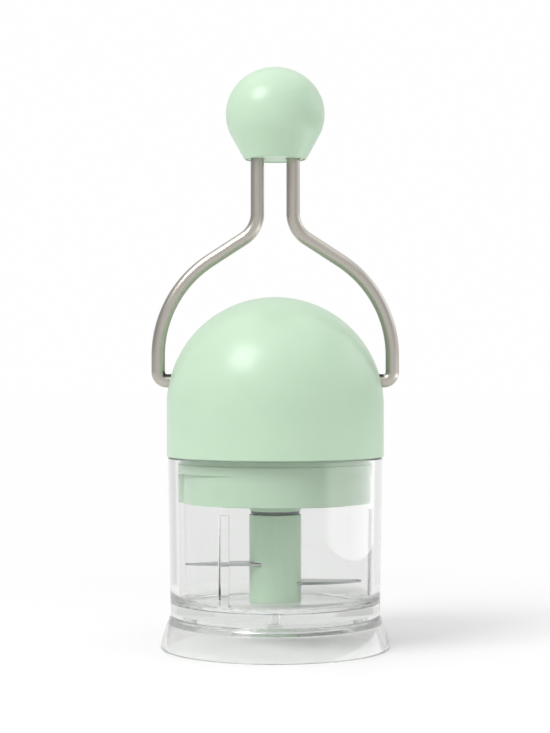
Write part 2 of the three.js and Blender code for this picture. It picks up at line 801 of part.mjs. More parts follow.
// The front pawl: a boss on its pin and an arm back to the nose that pushes a tooth's face.
function pawlOutline() {
  const at = (radius, turn) => {
    const angle = radians(toothFace + turn);
    return [radius * Math.cos(angle), radius * Math.sin(angle)];
  };
  const noseTurn = THREE.MathUtils.radToDeg(seatGap / (ratchetRadius - ratchetToothDepth));
  const root = ratchetRadius - ratchetToothDepth;
  const span = pawlReach - noseTurn;
  return polygon([
    at(root + 2 * seatGap, noseTurn),
    at(ratchetRadius - seatGap, noseTurn + span / 4),
    at(ratchetRadius + seatGap, noseTurn + span / 2),
    at(pawlCircle - pawlBossRadius + seatGap, pawlReach - seatGap),
    at(pawlCircle, pawlReach),
    at(pawlCircle + pawlBossRadius - seatGap, pawlReach - seatGap),
    at(pawlCircle - seatGap, noseTurn + span / 2),
    at(ratchetRadius + 2 * seatGap, noseTurn),
  ]);
}

function pawl(turn) {
  const top = ratchetZ + ratchetThickness;
  const arm = prism(pawlOutline(), ratchetZ, top).rotateZ(turn);
  const boss = rod(pawlBossRadius, ratchetZ, top).translate(0, -pawlCircle, 0).rotateZ(turn);
  const hole = rod(pawlPinRadius + seatGap, ratchetZ - overrun, top + overrun, wireSides)
    .translate(0, -pawlCircle, 0).rotateZ(turn);
  return cut(join(solid(arm), solid(boss)), solid(hole));
}

function pawlPin(turn) {
  const head = rod(pawlHeadRadius, pawlPinHeadZ, pawlPinHeadZ + pawlHeadHeight);
  const shaft = rod(pawlPinRadius, pawlPinHeadZ + pawlHeadHeight / 2, carrierZ + carrierThickness, wireSides);
  return join(
    solid(head.translate(0, -pawlCircle, 0).rotateZ(turn)),
    solid(shaft.translate(0, -pawlCircle, 0).rotateZ(turn)),
  );
}

// A small wound spring round the pin, between the pin's head and the pawl.
function pawlSpring(turn) {
  const coilRadius = pawlPinRadius + seatGap + springWireRadius;
  const bottom = pawlPinHeadZ + pawlHeadHeight + springWireRadius + seatGap;
  const steps = springSteps * springTurns;
  const points = Array.from({ length: steps + 1 }, (_, i) => {
    const angle = 2 * Math.PI * i / springSteps;
    const z = bottom + springPitch * i / springSteps;
    return new THREE.Vector3(coilRadius * Math.cos(angle), coilRadius * Math.sin(angle), z);
  });
  const section = new THREE.Shape().absarc(0, 0, springWireRadius, 0, 2 * Math.PI);
  const settings = { steps, extrudePath: new BentWire(points), curveSegments: springSides / 2 };
  return solid(new THREE.ExtrudeGeometry(section, settings).translate(0, -pawlCircle, 0).rotateZ(turn));
}

function spindle() {
  const bottom = noseZ - seatGap;
  const body = turned([
    [0, bottom],
    [journalRadius, bottom],
    [journalRadius, shoulderZ],
    [shoulderRadius, shoulderZ],
    [shoulderRadius, shoulderZ + shoulderHeight],
    [spindleRadius, shoulderZ + shoulderHeight],
    [spindleRadius, pinionTopZ],
    [spindleTopRadius, pinionTopZ],
    [spindleTopRadius, clipZ - seatGap],
    [spindleTopRadius - clipGroove, clipZ - seatGap],
    [spindleTopRadius - clipGroove, clipZ + clipThickness + seatGap],
    [spindleTopRadius, clipZ + clipThickness + seatGap],
    [spindleTopRadius, spindleTopZ],
    [0, spindleTopZ],
  ], smallSides);
  const flatDepth = spindleRadius - spindleFlat;
  const flat = block(
    flatDepth + overrun, 2 * spindleRadius, ratchetThickness + 2 * seatGap,
    spindleFlat + (flatDepth + overrun) / 2, 0, ratchetZ + ratchetThickness / 2,
  );
  const drive = rod(hexRadius, hexEndZ, bottom + seatGap, hexSides);
  return cut(join(body, solid(drive)), solid(flat));
}

function spindleClip() {
  const half = radians(clipMouth) / 2;
  const inner = spindleTopRadius - clipGroove + seatGap;
  const outline = new THREE.Shape()
    .absarc(0, 0, clipRadius, half, 2 * Math.PI - half)
    .absarc(0, 0, inner, 2 * Math.PI - half, half, true);
  return solid(prism(outline, clipZ, clipZ + clipThickness));
}

// Blade unit

// The left blade's outline from above, with a round root. Grow widens it to cut its slot in the hub.
function bladeOutline(grow) {
  const root = bladeRootRadius + grow;
  const front = bladeFrontWidth + grow;
  const back = bladeBackWidth + grow;
  const frontX = -Math.sqrt(bladeHubRadius ** 2 - bladeFrontWidth ** 2);
  const backX = -Math.sqrt(bladeHubRadius ** 2 - bladeBackWidth ** 2);
  const tipX = -Math.sqrt(bladeTipRadius ** 2 - bladeTipBack ** 2);
  return new THREE.Shape()
    .moveTo(0, -root)
    .lineTo(frontX, -front)
    .quadraticCurveTo((frontX + tipX) / 2, -front - bladeThickness, tipX, -bladeTipBack)
    .quadraticCurveTo((backX + 2 * tipX) / 3, back, backX, back)
    .lineTo(0, root)
    .absarc(0, 0, root, Math.PI / 2, -Math.PI / 2, true);
}

function blade(height, turn) {
  const outline = bladeOutline(0);
  outline.holes.push(new THREE.Path().absarc(0, 0, bladeRootBore, 0, 2 * Math.PI));
  const z = cupFloorZ + height - bladeThickness / 2;
  return solid(prism(outline, z, z + bladeThickness).rotateZ(turn));
}

function bladeHub() {
  const body = turned([
    [0, bladeHubZ],
    [bladeHubRadius - bladeHubRound, bladeHubZ],
    [bladeHubRadius, bladeHubZ + bladeHubRound],
    [bladeHubRadius, bladeHubTopZ - bladeHubRound],
    [bladeHubRadius - bladeHubRound, bladeHubTopZ],
    [0, bladeHubTopZ],
  ], middleSides);
  const slot = (height, turn) => {
    const z = cupFloorZ + height;
    const half = bladeThickness / 2 + seatGap;
    return solid(prism(bladeOutline(seatGap), z - half, z + half).rotateZ(turn));
  };
  return cut(
    body,
    slot(upperBladeHeight, 0),
    slot(lowerBladeHeight, Math.PI),
    solid(rod(centrePinRadius + seatGap, bladeHubZ - overrun, pinTopZ + seatGap)),
    solid(rod(hexRadius + seatGap, hexEndZ - seatGap, bladeHubTopZ + overrun, hexSides)),
  );
}

// The whole chopper

const chopper = new THREE.Group();
chopper.add(
  piece('base_ring', baseRing(), clear),
  piece('cup', cupBody(), clear),
  piece('dome_shell', domeShell(), mint),
  piece('collar', collar(), mint),
  piece('pivot_bush_right', pivotBush(1), acetal),
  piece('pivot_bush_left', pivotBush(-1), acetal),
  piece('gear_frame', gearFrame(), nylon),
  piece('handle_wire', handleWire(), steel),
  piece('knob_shell', knobShell(), mint),
  piece('knob_plug', knobPlug(), mint),
  piece('drive_gear', driveGear(), acetal),
  piece('pinion', pinion(), acetal),
  piece('ratchet_wheel', ratchetWheel(), steel),
  piece('spindle', spindle(), steel),
  piece('spindle_clip', spindleClip(), steel),
  piece('blade_hub', bladeHub(), mint),
  piece('blade_upper', blade(upperBladeHeight, 0), bladeSteel),
  piece('blade_lower', blade(lowerBladeHeight, Math.PI), bladeSteel),
);

const lowerBush = spindleBush(
  journalRadius + seatGap, lowerBushWall, lowerFlangeRadius,
  noseZ, lowerFlangeZ + flangeThickness, lowerFlangeZ,
);
const upperBush = spindleBush(
  spindleTopRadius + seatGap, bushWall, upperFlangeRadius,
  upperFlangeZ, bridgeTopZ + seatGap, upperFlangeZ,
);
chopper.add(piece('spindle_bush_lower', lowerBush, acetal), piece('spindle_bush_upper', upperBush, acetal));

for (let i = 0; i < postCount; i += 1) {
  const turn = radians(postTurn) + 2 * Math.PI * i / postCount;
  const seat = collarBottomZ + screwHeadHeight;
  const made = screw(screwLength, seat, true, postCircle * Math.cos(turn), postCircle * Math.sin(turn));
  chopper.add(piece(`lid_screw_${i + 1}`, made, steel));
}

for (const [name, turn, side] of [['front', 0, -1], ['rear', Math.PI, 1]]) {
  const seat = collarHubTopZ + seatGap + frameFootThickness + seatGap;
  const made = screw(frameScrewLength, seat, false, frameMiddleX, side * footScrewY);
  chopper.add(
    piece(`frame_screw_${name}`, made, steel),
    piece(`pawl_${name}`, pawl(turn), steel),
    piece(`pawl_pin_${name}`, pawlPin(turn), steel),
    piece(`pawl_spring_${name}`, pawlSpring(turn), steel),
  );
}

export default chopper;
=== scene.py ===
import math
import bpy
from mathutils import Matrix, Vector


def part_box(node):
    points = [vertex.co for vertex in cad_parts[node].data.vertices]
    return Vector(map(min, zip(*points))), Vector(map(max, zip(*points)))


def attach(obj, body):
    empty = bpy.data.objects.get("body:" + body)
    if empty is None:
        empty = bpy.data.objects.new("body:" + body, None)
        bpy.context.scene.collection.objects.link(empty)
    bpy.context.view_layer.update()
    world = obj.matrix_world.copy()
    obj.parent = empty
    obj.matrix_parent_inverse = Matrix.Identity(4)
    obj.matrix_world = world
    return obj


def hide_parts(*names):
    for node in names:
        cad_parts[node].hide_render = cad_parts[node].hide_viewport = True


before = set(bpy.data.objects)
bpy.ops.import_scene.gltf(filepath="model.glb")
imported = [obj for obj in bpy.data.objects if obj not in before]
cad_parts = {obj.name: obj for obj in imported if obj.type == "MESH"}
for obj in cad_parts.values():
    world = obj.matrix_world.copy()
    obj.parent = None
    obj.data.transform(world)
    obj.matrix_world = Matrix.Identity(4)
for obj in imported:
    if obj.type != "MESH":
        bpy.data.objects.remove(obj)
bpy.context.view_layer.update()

mm = 0.001

# Sizes read from the frame, in metres
foot_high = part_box("base_ring")[1]
cup_low, cup_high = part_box("cup")
dome_low, dome_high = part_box("dome_shell")
collar_low, collar_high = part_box("collar")
knob_low, knob_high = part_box("knob_shell")
plug_low, plug_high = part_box("knob_plug")
wire_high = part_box("handle_wire")[1]
post_low, post_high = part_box("blade_hub")
upper_low, upper_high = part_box("blade_upper")
lower_low, lower_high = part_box("blade_lower")
spindle_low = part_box("spindle")[0]
bush_low, bush_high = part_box("pivot_bush_right")
nose_bush_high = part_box("spindle_bush_lower")[1]
screw_low, screw_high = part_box("lid_screw_1")

seat_gap = 0.3 * mm
collar_bottom = collar_low.z + 3.4 * mm

# Foot
foot_radius = foot_high.x
foot_top_radius = foot_radius - 3.3 * mm
foot_bulge = 0.35 * mm
foot_wall = 2.2 * mm
foot_edge_round = 0.25 * mm
foot_edge_height = cup_low.z - seat_gap
foot_ledge_thickness = 2.4 * mm
foot_ledge_radius = 32.2 * mm
tab_thickness = 1.6 * mm
tab_turn = 30
tab_half_angle = 4.5
tab_count = 6

# Cup
cup_rim_radius = cup_high.x
cup_foot_radius = cup_rim_radius - 0.95 * mm
cup_wall = 3.25 * mm
cup_rim_round = 0.5 * mm
cup_foot_round = cup_rim_round / 2
cup_edge_round = 0.22 * mm
cup_ring_bore = cup_foot_radius - 4.5 * mm
cup_floor_under = cup_low.z + 1.6 * mm
cup_floor = cup_floor_under + 3 * mm
cup_fillet = 5 * mm
pin_radius = 3 * mm
pin_top = cup_floor + 10 * mm
pin_wall = 1.5 * mm
rib_count = 3
rib_turn = -119.6
rib_depth = 0.9 * mm
rib_half_width = 2.2 * mm
rib_slope = math.radians(29)
rib_foot = cup_floor + 1 * mm
rib_top = collar_bottom - 2.8 * mm

# Dome
dome_radius = dome_high.x
dome_spring = dome_high.z - dome_radius
dome_wall = 2.4 * mm
dome_edge_round = 0.4 * mm
boss_sink = 1 * mm
pivot_z = (bush_low.z + bush_high.z) / 2
pivot_boss_radius = 7 * mm
pivot_boss_reach = bush_low.x + 1.3 * mm
pivot_bore_radius = 4.3 * mm
pivot_bore_end = bush_high.x + seat_gap
pivot_hole_radius = 3.6 * mm
screw_post_radius = 3.4 * mm
screw_post_drop = 13.1 * mm

# Collar
collar_radius = cup_rim_radius - cup_wall - 0.4 * mm
collar_bore = collar_radius - 2.6 * mm
collar_edge_round = 0.3 * mm
collar_floor = collar_bottom + 3.2 * mm
collar_hub_radius = 9.6 * mm
collar_hub_top = collar_floor + 4.1 * mm
nose_z = collar_low.z
nose_radius = 9.4 * mm
groove_depth = 1 * mm
groove_top = cup_high.z - 0.5 * mm
groove_bottom = groove_top - 1.6 * mm
flange_radius = collar_high.x
flange_bottom = dome_low.z + screw_post_drop + seat_gap
flange_thickness = 2.7 * mm
dome_edge = flange_bottom - seat_gap
ramp_count = 3
ramp_turn = -169
ramp_span = 58
ramp_depth = 2.1 * mm
ramp_top = collar_bottom + 11 * mm

# Bushes
bush_edge_round = 0.15 * mm
pivot_bush_wall = 1.2 * mm
pivot_flange_radius = 6 * mm
pivot_flange_thickness = 1 * mm
bush_seat_radius = 7.6 * mm
nose_bush_bore = 5.3 * mm
nose_bush_step = 0.9 * mm
nose_bush_flange = 1.3 * mm
# A dark lip below the nose bush, painted shade for the shadowed gap above the post
shade_lip_radius = 8.9 * mm
shade_lip_drop = 0.8 * mm

# Lid screws
screw_circle = math.hypot((screw_low.x + screw_high.x) / 2, (screw_low.y + screw_high.y) / 2)
screw_turn = 45
screw_count = 4
screw_shaft_radius = 1.4 * mm
screw_hole_radius = 1.7 * mm
screw_hole_depth = 7.5 * mm
screw_seat_radius = 3 * mm
screw_seat_depth = 1.8 * mm
screw_head_radius = (screw_high.x - screw_low.x) / 2
screw_head_height = 1.5 * mm
screw_head_round = 0.9 * mm
screw_head_crown = 0.5 * mm
screw_point = 0.8 * mm
screw_edge_round = 0.08 * mm
cross_width = 0.6 * mm
cross_length = 3 * mm
cross_height = 1.8 * mm

# Handle wire
wire_radius = 2.5 * mm
leg_offset = 6.6 * mm
neck_bend = 11 * mm
shoulder_slope = math.radians(33)
shoulder_bend = 42 * mm
arch_half_width = wire_high.x - wire_radius
arch_straight = 5.95 * mm
end_bend = 3.25 * mm
wire_end = 14.03 * mm
wire_hub_z = pivot_z + 10 * mm

# Where painted shade darkens the top of the wire's level ends beside the dome: unshaded at the first
# place, dark at the second
painted_shade_right = (40.4 * mm, 39.6 * mm)
painted_shade_left = (-41.8 * mm, -41 * mm)
painted_shade_inside = (30 * mm, 34 * mm)
painted_shade_below = (pivot_z + 0.9 * mm, pivot_z + 1.7 * mm)
painted_shade_above = (pivot_z + 4 * mm, pivot_z + 3 * mm)

# Knob
knob_radius = 18.25 * mm
knob_crown = 17.3 * mm
knob_z = knob_high.z - knob_crown
knob_cone_start = -27
knob_foot_radius = 11.7 * mm
knob_foot_round = 0.6 * mm
knob_recess_radius = knob_foot_radius - 0.8 * mm
knob_recess_edge = 0.2 * mm
plug_hole_radius = wire_radius + seat_gap
plug_edge_round = 0.2 * mm

# Post and blades
post_radius = post_high.x
post_round = 0.4 * mm
hex_radius = 5.1 * mm
blade_thickness = upper_high.z - upper_low.z
blade_root_radius = 6.8 * mm
blade_root_bore = 4 * mm
blade_tip_radius = 33.1 * mm
blade_tip_back = 5.2 * mm
blade_front = 8 * mm
blade_back = 5.3 * mm
blade_ground_width = 2.2 * mm
slot_play = 0.2 * mm

# Points closer than this become one
weld_gap = 0.001 * mm
cup_weld_gap = 0.02 * mm
wire_weld_gap = 0.005 * mm
wire_middle_gap = 0.01 * mm

# Play in a test of place, and the least upright part of a normal that looks up
nearly = 0.1 * mm
looks_up = 0.9

# The setting that lets the largest faces decide the shading beside their rounds
largest_faces_only = 100

# How far a cutting tool runs past its piece
past = 1 * mm

# How finely rounds are divided: small rounds, walls and bends, then pieces all the way round
round_steps = 4
fillet_steps = 8
foot_wall_steps = 12
ramp_steps = 28
foot_steps = 120
cup_steps = 162
dome_steps = 160
collar_steps = 144
wire_sides = 32


# Tools for making pieces

def only(piece):
    """Selects one piece and makes it the active one."""
    bpy.ops.object.select_all(action="DESELECT")
    piece.select_set(True)
    bpy.context.view_layer.objects.active = piece


def edit(piece):
    """Opens one piece in edit mode."""
    only(piece)
    bpy.ops.object.mode_set(mode="EDIT")


def leave_edit():
    """Goes back to object mode."""
    bpy.ops.object.mode_set(mode="OBJECT")


def apply_all(piece):
    """Applies every modifier of a piece."""
    only(piece)
    for modifier in list(piece.modifiers):
        bpy.ops.object.modifier_apply(modifier=modifier.name)


def apply_place():
    """Leaves the selected piece where it is, with its origin at the scene's own."""
    bpy.ops.object.transform_apply(location=True, rotation=True, scale=True)


def added(add, name, **values):
    """What one entry of the add menu makes, named and with its place applied."""
    bpy.ops.object.select_all(action="DESELECT")
    add(**values)
    made = bpy.context.object
    made.name = name
    apply_place()
    return made


def weld(gap):
    """Joins the open piece's points that lie closer than the gap and turns its faces outwards."""
    bpy.ops.mesh.select_all(action="SELECT")
    bpy.ops.mesh.remove_doubles(threshold=gap)
    bpy.ops.mesh.normals_make_consistent(inside=False)
    leave_edit()


def arc(centre_x, centre_z, radius, start, end, steps=round_steps, height_radius=None):
    """Points of an arc in a profile, angles in degrees from the outward direction."""
    tall = radius if height_radius is None else height_radius
    points = []
    for i in range(steps + 1):
        angle = math.radians(start + (end - start) * i / steps)
        points.append((centre_x + radius * math.cos(angle), centre_z + tall * math.sin(angle)))
    return points


def turned(name, profile, steps=128, start=0.0):
    """A piece turned about the upright axis from a closed profile of (radius, height)."""
    piece = added(bpy.ops.mesh.primitive_circle_add, name, vertices=len(profile), radius=dome_radius)
    around = math.radians(start)
    for vertex, (radius, height) in zip(piece.data.vertices, profile):
        vertex.co = (radius * math.cos(around), radius * math.sin(around), height)
    edit(piece)
    bpy.ops.mesh.select_mode(type="EDGE")
    bpy.ops.mesh.select_all(action="DESELECT")
    leave_edit()
    on_axis = [v.index for v in piece.data.vertices if math.hypot(v.co.x, v.co.y) < weld_gap]
    for edge in piece.data.edges:
        edge.select = all(i in on_axis for i in edge.vertices)
    edit(piece)
    bpy.ops.mesh.delete(type="EDGE")
    bpy.ops.mesh.select_all(action="SELECT")
    bpy.ops.mesh.spin(steps=steps, angle=2 * math.pi, center=(0, 0, 0), axis=(0, 0, 1))
    weld(weld_gap)
    return piece


def raised(name, outline, low, rise):
    """A flat outline of (x, y) at the height low, pulled up by the rise."""
    piece = added(bpy.ops.mesh.primitive_circle_add, name, vertices=len(outline), radius=dome_radius,
                  fill_type="NGON")
    for vertex, (x, y) in zip(piece.data.vertices, outline):
        vertex.co = (x, y, low)
    edit(piece)
    bpy.ops.mesh.select_all(action="SELECT")
    bpy.ops.mesh.extrude_region_move(TRANSFORM_OT_translate={"value": (0, 0, rise)})
    bpy.ops.mesh.select_all(action="SELECT")
    bpy.ops.mesh.normals_make_consistent(inside=False)
    leave_edit()
    return piece


def rod(radius, start, end, sides=48, along="Z", centre=(0, 0)):
    """A round rod that cuts or joins another piece."""
    middle = (start + end) / 2
    place = {"Z": (centre[0], centre[1], middle), "X": (middle, centre[0], centre[1])}[along]
    turn = {"Z": (0, 0, 0), "X": (0, math.pi / 2, 0)}[along]
    return added(bpy.ops.mesh.primitive_cylinder_add, "rod", vertices=sides, radius=radius,
                 depth=end - start, location=place, rotation=turn)


def pivot_rod(side, radius, inner, outer):
    """A rod through the dome's wall on one side, where the wire enters."""
    start, end = sorted((side * inner, side * outer))
    return rod(radius, start, end, sides=64, along="X", centre=(0, pivot_z))


def ball(radius, height):
    """A ball on the axis that trims another piece to a round shell."""
    return added(bpy.ops.mesh.primitive_uv_sphere_add, "ball", segments=96, ring_count=48,
                 radius=radius, location=(0, 0, height))


def carve(piece, tool, operation="DIFFERENCE"):
    """Cuts the tool from the piece, or joins it on, and throws the tool away."""
    boolean = piece.modifiers.new("carve", "BOOLEAN")
    boolean.operation = operation
    boolean.solver = "EXACT"
    boolean.object = tool
    apply_all(piece)
    bpy.data.objects.remove(tool)


def select_faces(piece, wanted):
    """Marks the faces that the test accepts and opens the piece with them selected."""
    for part in (*piece.data.vertices, *piece.data.edges):
        part.select = False
    for polygon in piece.data.polygons:
        polygon.select = wanted(polygon)
    edit(piece)
    bpy.ops.mesh.select_mode(type="FACE")


def soften(piece, width, segments=2, angle=35):
    """Rounds every edge that is sharper than the angle."""
    bevel = piece.modifiers.new("edges", "BEVEL")
    bevel.width = width
    bevel.segments = segments
    bevel.limit_method = "ANGLE"
    bevel.angle_limit = math.radians(angle)
    bevel.harden_normals = False
    apply_all(piece)


def smooth(piece, angle=32):
    """Smooth shading that keeps the sharp edges and the long walls straight beside their rounds."""
    only(piece)
    bpy.ops.object.shade_smooth_by_angle(angle=math.radians(angle))
    weights = piece.modifiers.new("weights", "WEIGHTED_NORMAL")
    weights.mode = "FACE_AREA"
    weights.weight = largest_faces_only
    weights.keep_sharp = True
    apply_all(piece)


def fit(piece, body, nodes, material):
    """Puts the finish on a piece and lets it stand for its nodes on its body."""
    piece.data.materials.clear()
    piece.data.materials.append(material)
    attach(piece, body)
    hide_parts(*nodes)


# Finishes

noise_low, noise_high = 0.15, 0.85


def grey(level):
    """An even grey as a node's colour."""
    return (level, level, level, 1)


class Tree:
    """The nodes of a material or of the world."""

    def __init__(self, tree):
        self.nodes = tree.nodes
        self.links = tree.links

    def put(self, socket, value):
        """Links another node's output to a socket, or sets the socket's own value."""
        if isinstance(value, bpy.types.NodeSocket):
            self.links.new(value, socket)
        else:
            socket.default_value = value

    def add(self, kind, **values):
        """A new node with the inputs that are named here."""
        node = self.nodes.new(kind)
        for key, value in values.items():
            self.put(node.inputs[key.replace("_", " ")], value)
        return node

    def path(self):
        """What kind of ray is looking."""
        return self.nodes.new("ShaderNodeLightPath").outputs

    def combine(self, operation, *values):
        """The values put together one after the other."""
        result = values[0]
        for value in values[1:]:
            node = self.nodes.new("ShaderNodeMath")
            node.operation = operation
            self.put(node.inputs[0], result)
            self.put(node.inputs[1], value)
            result = node.outputs["Value"]
        return result

    def scaled(self, value, start, end, low=0.0, high=1.0, soft=False):
        """The run from start to end turned into one from low to high, evenly or with soft ends."""
        node = self.add("ShaderNodeMapRange", Value=value, From_Min=start, From_Max=end,
                        To_Min=low, To_Max=high)
        node.interpolation_type = "SMOOTHSTEP" if soft else "LINEAR"
        return node.outputs["Result"]

    def ramp(self, value, stops, interpolation="LINEAR"):
        """A colour that follows the value through stops of (position, colour)."""
        ramp = self.nodes.new("ShaderNodeValToRGB")
        ramp.color_ramp.interpolation = interpolation
        elements = ramp.color_ramp.elements
        while len(elements) < len(stops):
            elements.new(0.5)
        for element, (position, colour) in zip(elements, stops):
            element.position = position
            element.color = (*colour, 1.0)
        self.put(ramp.inputs["Fac"], value)
        return ramp.outputs["Color"]

    def mix(self, share, none, full):
        """The first shader where the share is 0 and the second where it is 1."""
        mix = self.nodes.new("ShaderNodeMixShader")
        for socket, value in zip(mix.inputs, (share, none, full)):
            self.put(socket, value)
        return mix.outputs["Shader"]


class Finish(Tree):
    """A material with its nodes: shader, texture coordinates and the noise that breaks it up."""

    def __init__(self, name, **values):
        self.material = bpy.data.materials.new(name)
        self.material.use_nodes = True
        super().__init__(self.material.node_tree)
        self.shader = self.nodes["Principled BSDF"]
        self.output = self.nodes["Material Output"]
        self.coordinates = self.nodes.new("ShaderNodeTexCoord").outputs
        self.feed(**values)

    def feed(self, **values):
        """Sets or links the shader's inputs that are named here."""
        for key, value in values.items():
            self.put(self.shader.inputs[key.replace("_", " ")], value)

    def stretched(self, scale, vector=None):
        """Coordinates with each direction scaled on its own."""
        place = vector or self.coordinates["Object"]
        return self.add("ShaderNodeMapping", Vector=place, Scale=scale).outputs["Vector"]

    def noise(self, scale, detail, vector=None):
        """Soft noise, its scale in lumps per metre."""
        place = vector or self.coordinates["Object"]
        return self.add("ShaderNodeTexNoise", Vector=place, Scale=scale, Detail=detail).outputs["Fac"]

    def spread(self, noise, low, high):
        """Noise, most of which lies round its middle, turned into a number between low and high."""
        return self.scaled(noise, noise_low, noise_high, low, high)

    def bump(self, noise, strength, distance):
        """The fine relief of a skin."""
        bump = self.add("ShaderNodeBump", Strength=strength, Distance=distance, Height=noise)
        return bump.outputs["Normal"]


def plain_finish(name, tones, mottle, rough, cloud, skin, grain, **values):
    """Mottled tones, cloudy roughness and a fine skin; each noise is given as its scale and detail."""
    finish = Finish(name, **values)
    finish.feed(Base_Color=finish.ramp(finish.noise(*mottle), tones),
                Roughness=finish.spread(finish.noise(*cloud), *rough),
                Normal=finish.bump(finish.noise(*grain), *skin))
    return finish.material


def clear_plastic(name, shade, rough, lamp_share, greyness):
    """Clear moulded plastic: grey in its thickness, with a faint ripple, and open to the lamps."""
    mottle, cloud, ripple = (30, 2), (160, 3), (70, 2)
    ripple_strength, ripple_depth = 0.06, 0.3 * mm
    dim, bright, green_cast = shade - 0.01, shade + 0.01, 1.006
    tones = ((0.3, (dim, dim * green_cast, dim)), (0.7, (bright, bright * green_cast, bright)))
    depth_colour = (0.50, 0.53, 0.50, 1)
    finish = Finish(name, IOR=1.5, Transmission_Weight=1.0)
    finish.feed(Base_Color=finish.ramp(finish.noise(*mottle), tones),
                Roughness=finish.spread(finish.noise(*cloud), *rough),
                Normal=finish.bump(finish.noise(*ripple), ripple_strength, ripple_depth))
    lit_through = finish.add("ShaderNodeBsdfTransparent", Color=grey(lamp_share))
    surface = finish.mix(finish.path()["Is Shadow Ray"], finish.shader.outputs["BSDF"],
                         lit_through.outputs["BSDF"])
    depth = finish.add("ShaderNodeVolumeAbsorption", Color=depth_colour, Density=greyness)
    finish.put(finish.output.inputs["Surface"], surface)
    finish.put(finish.output.inputs["Volume"], depth.outputs["Volume"])
    return finish.material


def wire_steel():
    """Bright drawn stainless wire: fine draw marks, a warm grey cast, and painted shade on top of the
    level ends beside the dome.
    """
    marks, along_wire, mark_strength, mark_depth = (1500, 3), (1, 0.03, 1), 0.02, 0.02 * mm
    warm_greys = ((0.3, (0.480, 0.455, 0.411)), (0.7, (0.505, 0.478, 0.432)))
    # The colour of the painted shade on top of the level ends beside the dome
    painted_shade_colour = (0.035, 0.04, 0.032, 1)
    finish = Finish("wire_steel", Metallic=1.0)
    wrapped = finish.nodes.new("ShaderNodeUVMap")
    wrapped.uv_map = "round"
    lines = finish.noise(*marks, finish.stretched(along_wire, wrapped.outputs["UV"]))
    place = finish.add("ShaderNodeSeparateXYZ", Vector=finish.coordinates["Object"]).outputs
    outwards = finish.nodes.new("ShaderNodeMath")
    outwards.operation = "ABSOLUTE"
    finish.put(outwards.inputs[0], place["X"])
    # Painted shade: darkens the top of the level ends beside the dome, where the wire meets its hole
    painted_shade = finish.combine("MULTIPLY", *(
        finish.scaled(value, unshaded, dark, soft=True) for value, (unshaded, dark) in (
            (place["X"], painted_shade_right), (place["X"], painted_shade_left),
            (outwards.outputs["Value"], painted_shade_inside),
            (place["Z"], painted_shade_below), (place["Z"], painted_shade_above))))
    tint = finish.nodes.new("ShaderNodeMix")
    tint.data_type = "RGBA"
    finish.put(tint.inputs["Factor"], painted_shade)
    finish.put(tint.inputs["A"], finish.ramp(lines, warm_greys))
    finish.put(tint.inputs["B"], painted_shade_colour)
    finish.feed(Base_Color=tint.outputs["Result"], Roughness=finish.spread(lines, 0.285, 0.36),
                Normal=finish.bump(lines, mark_strength, mark_depth))
    return finish.material


def blade_steel():
    """Ground stainless sheet with fine grinding lines across the blade."""
    marks, across_blade, mark_strength, mark_depth = (1600, 3), (1, 0.04, 1), 0.04, 0.02 * mm
    tones = ((0.3, (0.44, 0.445, 0.445)), (0.7, (0.50, 0.505, 0.505)))
    finish = Finish("blade_steel", Metallic=1.0)
    lines = finish.noise(*marks, finish.stretched(across_blade))
    finish.feed(Base_Color=finish.ramp(lines, tones), Roughness=finish.spread(lines, 0.28, 0.34),
                Normal=finish.bump(lines, mark_strength, mark_depth))
    return finish.material


# Satin moulded plastic in pale mint, with a faint mottle and a very fine mould texture
mint = plain_finish(
    "mint_plastic", tones=((0.35, (0.553, 0.748, 0.559)), (0.65, (0.571, 0.766, 0.575))),
    mottle=(55, 3), rough=(0.28, 0.33), cloud=(240, 2), skin=(0.03, 0.04 * mm), grain=(1500, 2),
    IOR=1.5, Specular_IOR_Level=0.5)

clear = clear_plastic("clear_plastic", shade=0.895, rough=(0.015, 0.04), lamp_share=0.93, greyness=6)
clear_satin = clear_plastic(
    "clear_satin_plastic", shade=0.87, rough=(0.04, 0.09), lamp_share=0.88, greyness=14)

steel_wire = wire_steel()
ground_steel = blade_steel()

# White acetal, waxy and faintly cloudy
white_acetal = plain_finish(
    "acetal", tones=((0.35, (0.80, 0.79, 0.75)), (0.65, (0.86, 0.85, 0.81))),
    mottle=(90, 3), rough=(0.38, 0.48), cloud=(400, 3), skin=(0.06, 0.05 * mm), grain=(1600, 2),
    IOR=1.48)

# Grey filled nylon with a dull, slightly grainy skin
grey_nylon = plain_finish(
    "nylon", tones=((0.3, (0.10, 0.113, 0.116)), (0.7, (0.14, 0.155, 0.158))),
    mottle=(500, 4), rough=(0.48, 0.6), cloud=(300, 3), skin=(0.15, 0.08 * mm), grain=(1400, 3),
    IOR=1.52)

# Zinc plated steel with soft clouding; its tone is kept dark as painted shade for the spindle seen in
# the gap above the post
plated = plain_finish(
    "plated_steel", tones=((0.3, (0.26, 0.265, 0.27)), (0.7, (0.34, 0.345, 0.35))),
    mottle=(300, 4), rough=(0.29, 0.4), cloud=(700, 3), skin=(0.1, 0.05 * mm), grain=(1500, 3),
    Metallic=1.0)


# Foot and cup

